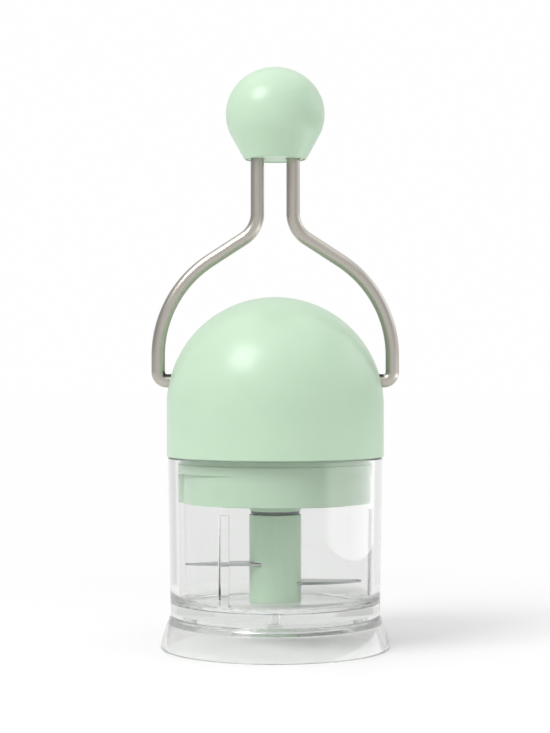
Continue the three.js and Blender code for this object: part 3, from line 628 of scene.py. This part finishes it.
def make_foot():
    """The flared clear ring with its ledge and six snap tabs."""
    def wall(share, inset):
        """The flared wall from the floor to a share of its height, moved in by the inset."""
        points = []
        for i in range(foot_wall_steps + 1):
            up = share * i / foot_wall_steps
            line = foot_radius + (foot_top_radius - foot_radius) * up + 4 * foot_bulge * up * (1 - up)
            points.append((line - inset, foot_edge_height * up))
        return points
    ledge_bottom = foot_edge_height - foot_ledge_thickness
    profile = wall(1, 0) + [
        (foot_ledge_radius + tab_thickness, foot_edge_height),
        (foot_ledge_radius, foot_edge_height),
        (foot_ledge_radius, ledge_bottom),
    ] + wall(ledge_bottom / foot_edge_height, foot_wall)[::-1]
    foot = turned("foot_ring", profile, foot_steps, tab_turn - tab_half_angle)

    def on_tab(polygon):
        centre = polygon.center
        if polygon.normal.z < looks_up or centre.z < foot_edge_height - nearly:
            return False
        if math.hypot(centre.x, centre.y) > foot_ledge_radius + tab_thickness:
            return False
        turn = math.degrees(math.atan2(centre.y, centre.x)) - tab_turn
        spacing = 360 / tab_count
        return abs((turn + spacing / 2) % spacing - spacing / 2) < tab_half_angle
    select_faces(foot, on_tab)
    rise = foot_high.z - foot_edge_height
    bpy.ops.mesh.extrude_region_move(TRANSFORM_OT_translate={"value": (0, 0, rise)})
    leave_edit()
    soften(foot, foot_edge_round)
    smooth(foot)
    fit(foot, "cup", ["base_ring"], clear_satin)


def make_cup():
    """The thick clear cup: filleted floor, centre pin, foot ring and three ribs on its wall."""
    def bore(height):
        share = (height - cup_low.z) / (cup_high.z - cup_low.z)
        return cup_foot_radius - cup_wall + (cup_rim_radius - cup_foot_radius) * share
    fillet_top = cup_floor + cup_fillet
    rib_inner = cup_foot_radius - cup_wall - rib_depth
    fillet_centre = bore(fillet_top) - cup_fillet
    rib_start = math.degrees(math.acos((rib_inner - fillet_centre) / cup_fillet))
    rim, foot = cup_rim_round, cup_foot_round
    profile = [
        (0, pin_top),
        (pin_radius - rim, pin_top),
        *arc(pin_radius - rim, pin_top - rim, rim, 90, 0)[1:],
        *arc(pin_radius + rim, cup_floor + rim, rim, 180, 270),
        *arc(fillet_centre, fillet_top, cup_fillet, -90, -rib_start, fillet_steps),
        *arc(fillet_centre, fillet_top, cup_fillet, -rib_start, 0, fillet_steps)[1:],
        (bore(rib_top), rib_top),
        *arc(bore(cup_high.z) + rim, cup_high.z - rim, rim, 180, 90),
        *arc(cup_rim_radius - rim, cup_high.z - rim, rim, 90, 0),
        *arc(cup_foot_radius - foot, cup_low.z + foot, foot, 0, -90, steps=3),
        (cup_ring_bore + foot, cup_low.z),
        *arc(cup_ring_bore + foot, cup_low.z + foot, foot, -90, -180, steps=3)[1:],
        (cup_ring_bore, cup_floor_under),
        (pin_wall, cup_floor_under),
        (pin_wall, pin_top - pin_wall),
        (0, pin_top - pin_wall),
    ]
    cup = turned("cup_body", profile, cup_steps, rib_turn + 180 / cup_steps)
    for i in range(rib_count):
        turn = math.radians(rib_turn + 360 * i / rib_count)
        out = Vector((math.cos(turn), math.sin(turn), 0))
        across = Vector((-out.y, out.x, 0))

        def on_rib(polygon):
            centre = polygon.center
            if not rib_foot < centre.z < rib_top or centre.dot(out) < rib_inner:
                return False
            if abs(centre.dot(across)) > rib_half_width or polygon.normal.dot(out) > 0:
                return False
            return math.hypot(centre.x, centre.y) < bore(centre.z) + nearly
        select_faces(cup, on_rib)
        bpy.ops.mesh.extrude_region_move(TRANSFORM_OT_translate={"value": tuple(-nearly * out)})
        leave_edit()
        for vertex in cup.data.vertices:
            if vertex.select:
                vertex.co += out * (rib_inner - vertex.co.dot(out))
                side = vertex.co.dot(across)
                if abs(side) > rib_half_width / 2:
                    vertex.co -= across * math.copysign(rib_depth * math.tan(rib_slope), side)
    edit(cup)
    weld(cup_weld_gap)
    soften(cup, cup_edge_round, angle=50)
    smooth(cup, angle=40)
    fit(cup, "cup", ["cup"], clear)


# Lid

def screw_places():
    """Where the four lid screws stand round the axis."""
    turns = [math.radians(screw_turn + 360 * i / screw_count) for i in range(screw_count)]
    return [(screw_circle * math.cos(turn), screw_circle * math.sin(turn)) for turn in turns]


def make_dome():
    """The mint shell: a hemisphere on a short skirt, with bosses for the handle and four posts."""
    inner = dome_radius - dome_wall
    edge = dome_edge_round
    profile = [
        *arc(0, dome_spring, dome_radius, 90, 0, steps=48),
        *arc(dome_radius - edge, dome_edge + edge, edge, 0, -90),
        *arc(inner + edge, dome_edge + edge, edge, -90, -180),
        *arc(0, dome_spring, inner, 0, 90, steps=32),
    ]
    dome = turned("dome_cover", profile, dome_steps)
    for side in (1, -1):
        boss = pivot_rod(side, pivot_boss_radius, pivot_boss_reach, dome_radius)
        carve(boss, ball(inner + boss_sink, dome_spring), "INTERSECT")
        carve(dome, boss, "UNION")
        carve(dome, pivot_rod(side, pivot_bore_radius, pivot_boss_reach - past, pivot_bore_end))
        carve(dome, pivot_rod(side, pivot_hole_radius, pivot_boss_reach, dome_radius + 2 * past))
    for place in screw_places():
        post = rod(screw_post_radius, dome_low.z, dome_spring + inner, centre=place)
        carve(post, ball(inner + boss_sink, dome_spring), "INTERSECT")
        carve(post, rod(screw_hole_radius, dome_low.z - past, dome_low.z + screw_hole_depth,
                        sides=24, centre=place))
        carve(dome, post, "UNION")
    smooth(dome, angle=30)
    fit(dome, "lid", ["dome_shell"], mint)


def ramp_tool():
    """The curved wedge that leaves a lead-in ramp on the collar, deep at one end."""
    inner, outer = [], []
    for i in range(ramp_steps + 1):
        share = i / ramp_steps
        angle = math.radians(ramp_turn + ramp_span * share)
        deep = collar_radius - ramp_depth * (1 - share)
        far = collar_radius + 2 * past
        inner.append((deep * math.cos(angle), deep * math.sin(angle)))
        outer.append((far * math.cos(angle), far * math.sin(angle)))
    return raised("ramp", inner + outer[::-1], collar_bottom - 2 * past,
                  ramp_top - collar_bottom + 2 * past)


def make_collar():
    """The mint plug under the dome: groove, closed floor with a nose, and three lead-in ramps."""
    groove_radius = collar_radius - groove_depth
    flange_top = flange_bottom + flange_thickness
    profile = [
        (bush_seat_radius, nose_z), (nose_radius, nose_z), (nose_radius, collar_bottom),
        (collar_radius, collar_bottom), (collar_radius, groove_bottom),
        (groove_radius, groove_bottom), (groove_radius, groove_top),
        (collar_radius, groove_top), (collar_radius, flange_bottom),
        (flange_radius, flange_bottom), (flange_radius, flange_top),
        (collar_bore, flange_top), (collar_bore, collar_floor),
        (collar_hub_radius, collar_floor), (collar_hub_radius, collar_hub_top),
        (bush_seat_radius, collar_hub_top),
    ]
    collar = turned("collar_plug", profile, collar_steps)
    soften(collar, collar_edge_round, segments=3)
    for i in range(ramp_count):
        tool = ramp_tool()
        only(tool)
        tool.rotation_euler.z = 2 * math.pi * i / ramp_count
        apply_place()
        carve(collar, tool)
    for place in screw_places():
        carve(collar, rod(screw_seat_radius, collar_bottom - past, collar_bottom + screw_seat_depth,
                          sides=40, centre=place))
        carve(collar, rod(screw_hole_radius, collar_bottom, collar_floor + past,
                          sides=32, centre=place))
    smooth(collar, angle=30)
    fit(collar, "lid", ["collar"], mint)


def make_pivot_bush(side, name, node):
    """A white flanged bush round the wire where it enters the dome."""
    bore = wire_radius + seat_gap
    body = bore + pivot_bush_wall
    flange = pivot_flange_radius
    inner, shoulder, outer = bush_low.x, bush_low.x + pivot_flange_thickness, bush_high.x
    profile = [(bore, inner), (flange, inner), (flange, shoulder), (body, shoulder),
               (body, outer), (bore, outer)]
    bush = turned(name, profile, steps=48)
    soften(bush, bush_edge_round)
    for vertex in bush.data.vertices:
        x, y, z = vertex.co
        vertex.co = (side * z, y, pivot_z - side * x)
    smooth(bush)
    fit(bush, "lid", [node], white_acetal)


def make_spindle_bush():
    """The bush in the collar's nose, given the dark nylon finish, with a dark lip below the nose that
    fills the gap above the post; the dark colour and the lip are painted shade for that shadowed gap.
    """
    bore, flange, top = nose_bush_bore, nose_bush_high.x, nose_bush_high.z
    body = flange - nose_bush_step
    shoulder = top - nose_bush_flange
    lip, lip_bottom = shade_lip_radius, nose_z - shade_lip_drop
    profile = [(bore, lip_bottom), (lip, lip_bottom), (lip, nose_z), (body, nose_z),
               (body, shoulder), (flange, shoulder), (flange, top), (bore, top)]
    bush = turned("bush_spindle", profile, steps=64)
    soften(bush, bush_edge_round)
    smooth(bush)
    fit(bush, "lid", ["spindle_bush_lower"], grey_nylon)


def make_lid_screws():
    """Four cross-head screws that hold the collar to the dome's posts, seen from below."""
    head_bottom, head_top = screw_low.z, screw_low.z + screw_head_height
    head, shaft, corner = screw_head_radius, screw_shaft_radius, screw_head_round
    profile = [(0, head_bottom),
               *arc(head - corner, head_bottom + screw_head_crown, corner, -90, 0,
                    steps=6, height_radius=screw_head_crown),
               (head, head_top), (shaft, head_top), (shaft, screw_high.z - screw_point),
               (0, screw_high.z)]
    first = turned("lid_screw", profile, steps=40)
    for wide, deep in ((cross_width, cross_length), (cross_length, cross_width)):
        carve(first, added(bpy.ops.mesh.primitive_cube_add, "cross", size=1,
                           location=(0, 0, head_bottom), scale=(wide, deep, cross_height)))
    soften(first, screw_edge_round, segments=1)
    for i, (x, y) in enumerate(screw_places()):
        place = Vector((x, y, 0))
        screw = bpy.data.objects.new(f"screw_{i + 1}", first.data.copy())
        bpy.context.scene.collection.objects.link(screw)
        for vertex in screw.data.vertices:
            vertex.co += place
        smooth(screw)
        node = min((f"lid_screw_{k + 1}" for k in range(screw_count)),
                   key=lambda name: (sum(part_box(name), Vector()) / 2 - place).xy.length)
        fit(screw, "lid", [node], plated)
    bpy.data.objects.remove(first)


# Handle

def bend(centre_x, centre_z, angle, steps):
    """Spins the open end of the wire about a bend's centre; positive turns from Z towards X."""
    bpy.ops.mesh.spin(steps=steps, angle=angle, center=(centre_x, 0, centre_z), axis=(0, -1, 0))


def draw(distance_x, distance_z, cuts=1):
    """Pulls the open end of the wire straight on, in one length or more."""
    for _ in range(cuts):
        bpy.ops.mesh.extrude_region_move(TRANSFORM_OT_translate={
            "value": (distance_x / cuts, 0, distance_z / cuts)})


def wrap_round(wire):
    """A UV map that runs round the wire and along it, in metres, with its seam at the back."""
    turns = []
    for vertex in wire.data.vertices:
        across = Vector((vertex.normal.x, 0, vertex.normal.z))
        outwards = across.dot(Vector((vertex.co.x, 0, vertex.co.z - wire_hub_z)))
        turns.append(math.atan2(math.copysign(across.length, outwards), -vertex.normal.y))
    layer = wire.data.uv_layers.new(name="round")
    for polygon in wire.data.polygons:
        here = [turns[i] for i in polygon.vertices]
        if max(here) - min(here) > math.pi:
            here = [turn if turn > 0 else turn + 2 * math.pi for turn in here]
        for corner, index, turn in zip(polygon.loop_indices, polygon.vertices, here):
            point = wire.data.vertices[index].co
            layer.data[corner].uv = (turn * wire_radius, abs(point.x) - point.z)


def make_wire():
    """One steel rod: a loop in the knob, two legs, sloping shoulders and ends bent into the dome."""
    shoulder_x = arch_half_width - shoulder_bend
    shoulder_z = pivot_z + end_bend + arch_straight
    neck_x = leg_offset + neck_bend
    neck_end_x = neck_x - neck_bend * math.sin(shoulder_slope)
    shoulder_start_x = shoulder_x + shoulder_bend * math.sin(shoulder_slope)
    shoulder_start_z = shoulder_z + shoulder_bend * math.cos(shoulder_slope)
    neck_end_z = shoulder_start_z + (shoulder_start_x - neck_end_x) * math.tan(shoulder_slope)
    neck_z = neck_end_z + neck_bend * math.cos(shoulder_slope)
    wire = added(bpy.ops.mesh.primitive_circle_add, "handle_rod", vertices=wire_sides,
                 radius=wire_radius, location=(0, 0, knob_z + leg_offset), rotation=(0, math.pi / 2, 0))
    edit(wire)
    bpy.ops.mesh.select_all(action="SELECT")
    bend(0, knob_z, math.pi / 2, steps=16)
    draw(0, neck_z - knob_z, cuts=4)
    bend(neck_x, neck_z, shoulder_slope - math.pi / 2, steps=14)
    draw(shoulder_start_x - neck_end_x, shoulder_start_z - neck_end_z, cuts=2)
    bend(shoulder_x, shoulder_z, math.pi / 2 - shoulder_slope, steps=36)
    draw(0, -arch_straight)
    bend(arch_half_width - end_bend, pivot_z + end_bend, math.pi / 2, steps=14)
    draw(wire_end - arch_half_width + end_bend, 0, cuts=2)
    bpy.ops.mesh.edge_face_add()
    leave_edit()
    mirror = wire.modifiers.new("other side", "MIRROR")
    mirror.use_axis = (True, False, False)
    mirror.merge_threshold = wire_middle_gap
    apply_all(wire)
    edit(wire)
    weld(wire_weld_gap)
    smooth(wire, angle=50)
    wrap_round(wire)
    fit(wire, "handle", ["handle_wire"], steel_wire)


def make_knob():
    """The mint ball with its tapered neck and the recess that takes the plug."""
    corner = knob_foot_round
    recess_top = plug_high.z + seat_gap
    profile = [
        *arc(0, knob_z, knob_radius, knob_cone_start, 90, steps=56, height_radius=knob_crown)[::-1],
        *arc(knob_foot_radius - corner, knob_low.z + corner, corner, 0, -90, steps=5),
        (knob_recess_radius + knob_recess_edge, knob_low.z),
        (knob_recess_radius, knob_low.z + knob_recess_edge),
        (knob_recess_radius, recess_top),
        (0, recess_top),
    ]
    knob = turned("knob_ball", profile)
    smooth(knob, angle=30)
    fit(knob, "handle", ["knob_shell"], mint)


def make_plug():
    """The disc under the knob, with a hole for each leg of the wire."""
    plug = rod(plug_high.x, plug_low.z, plug_high.z, sides=96)
    plug.name = "knob_disc"
    for side in (1, -1):
        carve(plug, rod(plug_hole_radius, plug_low.z - past, plug_high.z + past,
                        centre=(side * leg_offset, 0)))
    soften(plug, plug_edge_round)
    smooth(plug)
    fit(plug, "handle", ["knob_plug"], mint)


# Post and blades

def blade_outline(grow=0.0):
    """The left blade seen from above, as points round its edge, and which of them are ground."""
    root = blade_root_radius + grow
    front_x = -math.sqrt(post_radius ** 2 - blade_front ** 2)
    back_x = -math.sqrt(post_radius ** 2 - blade_back ** 2)
    tip = Vector((-math.sqrt(blade_tip_radius ** 2 - blade_tip_back ** 2), -blade_tip_back))
    front = Vector((front_x, -blade_front - grow))
    back = Vector((back_x, blade_back + grow))

    def curve(a, b, c, steps):
        shares = [i / steps for i in range(steps + 1)]
        return [a * (1 - t) ** 2 + b * 2 * t * (1 - t) + c * t ** 2 for t in shares]
    front_bow = Vector(((front_x + tip.x) / 2, -blade_front - grow - blade_thickness))
    back_bow = Vector(((back_x + 2 * tip.x) / 3, blade_back + grow))
    front_curve = curve(front, front_bow, tip, steps=20)
    back_curve = curve(tip, back_bow, back, steps=32)
    round_root = [Vector(point) for point in arc(0, 0, root, 90, -90, steps=24)]
    points = front_curve + back_curve[1:] + round_root
    # Ground along the back, from beside the tip to just outside the post
    ground = range(len(front_curve), len(front_curve) + len(back_curve) - 3)
    return points, ground


def make_blade(name, node, low, high, turned_round):
    """A thin steel blade with a curved ground edge and a ringed root inside the post."""
    points, ground = blade_outline()
    blade = raised(name, points, low.z, high.z - low.z)
    tops = [v for v in blade.data.vertices if v.co.z > (low.z + high.z) / 2]
    for vertex in tops:
        nearest = min(range(len(points)), key=lambda i: (points[i] - vertex.co.xy).length)
        if nearest in ground:
            along = (points[(nearest + 1) % len(points)] - points[nearest - 1]).normalized()
            vertex.co.x += along.y * blade_ground_width
            vertex.co.y -= along.x * blade_ground_width
    carve(blade, rod(blade_root_bore, low.z - past, high.z + past, sides=40))
    if turned_round:
        for vertex in blade.data.vertices:
            vertex.co.x, vertex.co.y = -vertex.co.x, -vertex.co.y
    smooth(blade, angle=12)
    fit(blade, "blade_unit", [node], ground_steel)


def slot_tool(low, high, turned_round):
    """The blade's outline a little larger, which leaves its slot in the post."""
    way = -1 if turned_round else 1
    outline = [(way * point.x, way * point.y) for point in blade_outline(slot_play)[0]]
    return raised("slot", outline, low.z - slot_play, high.z - low.z + 2 * slot_play)


def make_post():
    """The mint post with rounded ends, a slot for each blade and a socket at each end."""
    post = rod(post_radius, post_low.z, post_high.z, sides=96)
    post.name = "blade_post"
    soften(post, post_round, segments=5)
    carve(post, rod(pin_radius + seat_gap, post_low.z - past, pin_top + seat_gap))
    carve(post, rod(hex_radius, spindle_low.z - seat_gap, post_high.z + past, sides=6))
    carve(post, slot_tool(upper_low, upper_high, False))
    carve(post, slot_tool(lower_low, lower_high, True))
    smooth(post, angle=30)
    fit(post, "blade_unit", ["blade_hub"], mint)


make_foot()
make_cup()
make_dome()
make_collar()
make_pivot_bush(1, "bush_right", "pivot_bush_right")
make_pivot_bush(-1, "bush_left", "pivot_bush_left")
make_spindle_bush()
make_lid_screws()
make_wire()
make_knob()
make_plug()
make_post()
make_blade("blade_left", "blade_upper", upper_low, upper_high, False)
make_blade("blade_right", "blade_lower", lower_low, lower_high, True)

# Finishes of the solids, of which the inner ones keep their own shape
solid_finishes = [
    (plated, ["spindle", "ratchet_wheel", "spindle_clip", "pawl_front", "pawl_rear",
              "pawl_pin_front", "pawl_pin_rear", "pawl_spring_front", "pawl_spring_rear",
              "frame_screw_front", "frame_screw_rear",
              "lid_screw_1", "lid_screw_2", "lid_screw_3", "lid_screw_4"]),
    # The lower spindle bush takes the dark nylon as painted shade for the gap above the post
    (grey_nylon, ["gear_frame", "spindle_bush_lower"]),
    (white_acetal, ["drive_gear", "pinion", "spindle_bush_upper",
                    "pivot_bush_right", "pivot_bush_left"]),
    (clear_satin, ["base_ring"]),
    (clear, ["cup"]),
    (mint, ["dome_shell", "collar", "knob_shell", "knob_plug", "blade_hub"]),
    (steel_wire, ["handle_wire"]),
    (ground_steel, ["blade_upper", "blade_lower"]),
]
for material, nodes in solid_finishes:
    for node in nodes:
        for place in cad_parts[node].material_slots:
            place.material = material


# Floor, light and camera

floor_size = 12
floor_cells = 8
floor_lift = 0.12
floor_white = 0.99
fade_start, fade_end = 0.08, 0.30

ambient_level = 0.47
backdrop_white = 0.995
clear_wall_bounces = 24

# The room that gloss sees: degrees round from the right-hand side, and how bright it is there
room_walls = [(-180, 0.42), (-135, 0.58), (-105, 0.88), (-68, 0.94), (-50, 0.50), (-25, 0.80),
              (0, 1.0), (20, 1.5), (50, 1.5), (65, 1.1), (90, 0.75), (140, 0.58), (180, 0.42)]

# Its ceiling brightens from the first height to the second, each the sine of the angle up
ceiling_start, ceiling_end, ceiling_level = 0.25, 0.8, 0.95

# Its walls are dimmer at eye level, up to this height
eye_level_share, eye_level_end = 0.78, 0.09

# Name, place, size, power, and whether gloss sees the lamp
lamps = [
    ("key", (-0.51, -0.49, 0.865), 0.44, 4.9, True),
    ("top", (0, -0.05, 0.95), 1.2, 2.0, True),
    ("fill", (0.84, -0.16, 0.30), 0.9, 1.35, False),
    ("left fill", (-0.85, 0.0, 0.35), 0.8, 0.7, False),
]
lamp_target = Vector((0, 0, 0.10))

# Name, degrees round, distance, width, lower and upper edge, brightness, and whether it stands
# behind the clear plastic or is seen in gloss
cards = [
    ("bright_card", -1, 0.3, 0.54, 0, 0.055, 3.1, False),
    ("high_card", 22, 0.6, 0.6, 0.26, 0.60, 1.7, False),
    ("grey_card_left", 123, 0.2, 0.13, 0, 0.10, 0.74, True),
    ("grey_card_right", 57, 0.2, 0.13, 0, 0.10, 0.88, True),
]
card_soft_edge = 0.2

# The transmission depth of a ray that enters a second wall of the cup
second_wall = 3

camera_place = (-0.1 * mm, -672 * mm, 102.1 * mm)
camera_tilt = 0.11
camera_lens = 89.4
camera_sensor = 36


def make_floor():
    """A wide pale floor that fades to plain white away from the object.

    Seen by the camera, in gloss or through something clear it is lifted a little, but its light on
    the object isn't.
    """
    floor = added(bpy.ops.mesh.primitive_grid_add, "floor", x_subdivisions=floor_cells,
                  y_subdivisions=floor_cells, size=floor_size, location=(0, 0, 0))
    mottle, tones = (14, 2), ((0.3, (0.93, 0.93, 0.928)), (0.7, (0.945, 0.945, 0.943)))
    finish = Finish("pale_floor", Roughness=0.6, Specular_IOR_Level=0.2)
    finish.feed(Base_Color=finish.ramp(finish.noise(*mottle), tones))
    away = finish.nodes.new("ShaderNodeVectorMath")
    away.operation = "LENGTH"
    finish.put(away.inputs[0], finish.coordinates["Object"])
    far = finish.scaled(away.outputs["Value"], fade_start, fade_end, soft=True)
    path = finish.path()
    seen = finish.combine("MAXIMUM", path["Is Camera Ray"], path["Is Glossy Ray"],
                          path["Is Transmission Ray"])
    lift = finish.add("ShaderNodeEmission", Color=grey(floor_lift), Strength=seen)
    lifted = finish.nodes.new("ShaderNodeAddShader")
    finish.put(lifted.inputs[0], finish.shader.outputs["BSDF"])
    finish.put(lifted.inputs[1], lift.outputs["Emission"])
    white = finish.add("ShaderNodeEmission", Color=grey(floor_white))
    finish.put(finish.output.inputs["Surface"], finish.mix(
        finish.combine("MULTIPLY", far, seen), lifted.outputs["Shader"], white.outputs["Emission"]))
    floor.data.materials.append(finish.material)


def make_world():
    """White behind the object, an even light on it, and a room with uneven walls in its gloss."""
    world = bpy.data.worlds.new("studio")
    bpy.context.scene.world = world
    world.use_nodes = True
    tree = Tree(world.node_tree)
    ambient = tree.nodes["Background"]
    tree.put(ambient.inputs["Color"], grey(1))
    tree.put(ambient.inputs["Strength"], ambient_level)
    view = tree.nodes.new("ShaderNodeTexCoord").outputs["Generated"]
    around = tree.add("ShaderNodeTexGradient", Vector=view)
    around.gradient_type = "RADIAL"
    stops = [((turn + 180) / 360, (level, level, level)) for turn, level in room_walls]
    walls = tree.ramp(around.outputs["Fac"], stops, "B_SPLINE")
    height = tree.add("ShaderNodeSeparateXYZ", Vector=view).outputs["Z"]
    ceiling = tree.scaled(height, ceiling_start, ceiling_end, high=ceiling_level, soft=True)
    dimmer = tree.scaled(height, 0, eye_level_end, low=eye_level_share)
    level = tree.combine("MAXIMUM", tree.combine("MULTIPLY", walls, dimmer), ceiling)
    room = tree.add("ShaderNodeBackground", Color=grey(1), Strength=level)
    white = tree.add("ShaderNodeBackground", Color=grey(backdrop_white))
    path = tree.path()
    unseen = tree.mix(path["Is Glossy Ray"], ambient.outputs["Background"], room.outputs["Background"])
    straight = tree.combine("MAXIMUM", path["Is Camera Ray"], path["Is Transmission Ray"])
    tree.put(tree.nodes["World Output"].inputs["Surface"],
             tree.mix(straight, unseen, white.outputs["Background"]))


def softbox(name, place, size, power, in_gloss):
    """A square lamp that shines on the object's middle."""
    light = bpy.data.lights.new(name, "AREA")
    light.shape = "SQUARE"
    light.size = size
    light.energy = power
    lamp = bpy.data.objects.new(name, light)
    bpy.context.scene.collection.objects.link(lamp)
    lamp.location = place
    lamp.rotation_euler = (lamp_target - Vector(place)).to_track_quat("-Z", "Y").to_euler()
    lamp.visible_glossy = in_gloss


def studio_card(name, around, distance, width, low, high, level, behind_clear):
    """A card with soft sides, seen only in gloss, or only through one wall of the cup."""
    turn = math.radians(around)
    bpy.ops.object.select_all(action="DESELECT")
    bpy.ops.mesh.primitive_plane_add(
        size=1, location=(distance * math.cos(turn), distance * math.sin(turn), (low + high) / 2),
        rotation=(math.pi / 2, 0, turn + math.pi / 2))
    card = bpy.context.object
    card.name = name
    card.scale = (width, high - low, 1)
    apply_place()
    card.visible_camera = card.visible_diffuse = card.visible_shadow = False
    card.visible_volume_scatter = False
    card.visible_transmission = behind_clear
    card.visible_glossy = not behind_clear
    finish = Finish(name)
    finish.material.cycles.emission_sampling = "NONE"
    across = finish.add("ShaderNodeSeparateXYZ", Vector=finish.coordinates["UV"]).outputs["X"]
    share = finish.combine("MULTIPLY", finish.scaled(across, 0, card_soft_edge, soft=True),
                           finish.scaled(across, 1, 1 - card_soft_edge, soft=True))
    if behind_clear:
        depth = finish.path()["Transmission Depth"]
        share = finish.combine("MULTIPLY", share, finish.combine("LESS_THAN", depth, second_wall))
    glow = finish.add("ShaderNodeEmission", Strength=level)
    clear_edge = finish.add("ShaderNodeBsdfTransparent")
    finish.put(finish.output.inputs["Surface"],
               finish.mix(share, clear_edge.outputs["BSDF"], glow.outputs["Emission"]))
    card.data.materials.append(finish.material)


def make_camera():
    """Level with the dome's pivots, as in the photograph, on the object's centre line."""
    camera = bpy.data.cameras.new("camera")
    camera.lens = camera_lens
    camera.sensor_width = camera_sensor
    eye = bpy.data.objects.new("camera", camera)
    bpy.context.scene.collection.objects.link(eye)
    eye.location = camera_place
    eye.rotation_euler = (math.radians(90 + camera_tilt), 0, 0)
    bpy.context.scene.camera = eye


make_floor()
make_world()
for lamp in lamps:
    softbox(*lamp)
for card in cards:
    studio_card(*card)
make_camera()
bpy.context.scene.view_settings.view_transform = "Standard"

# Light crosses the thick clear walls many times before it leaves them
paths = bpy.context.scene.cycles
paths.max_bounces = paths.glossy_bounces = paths.transmission_bounces = clear_wall_bounces
paths.transparent_max_bounces = clear_wall_bounces
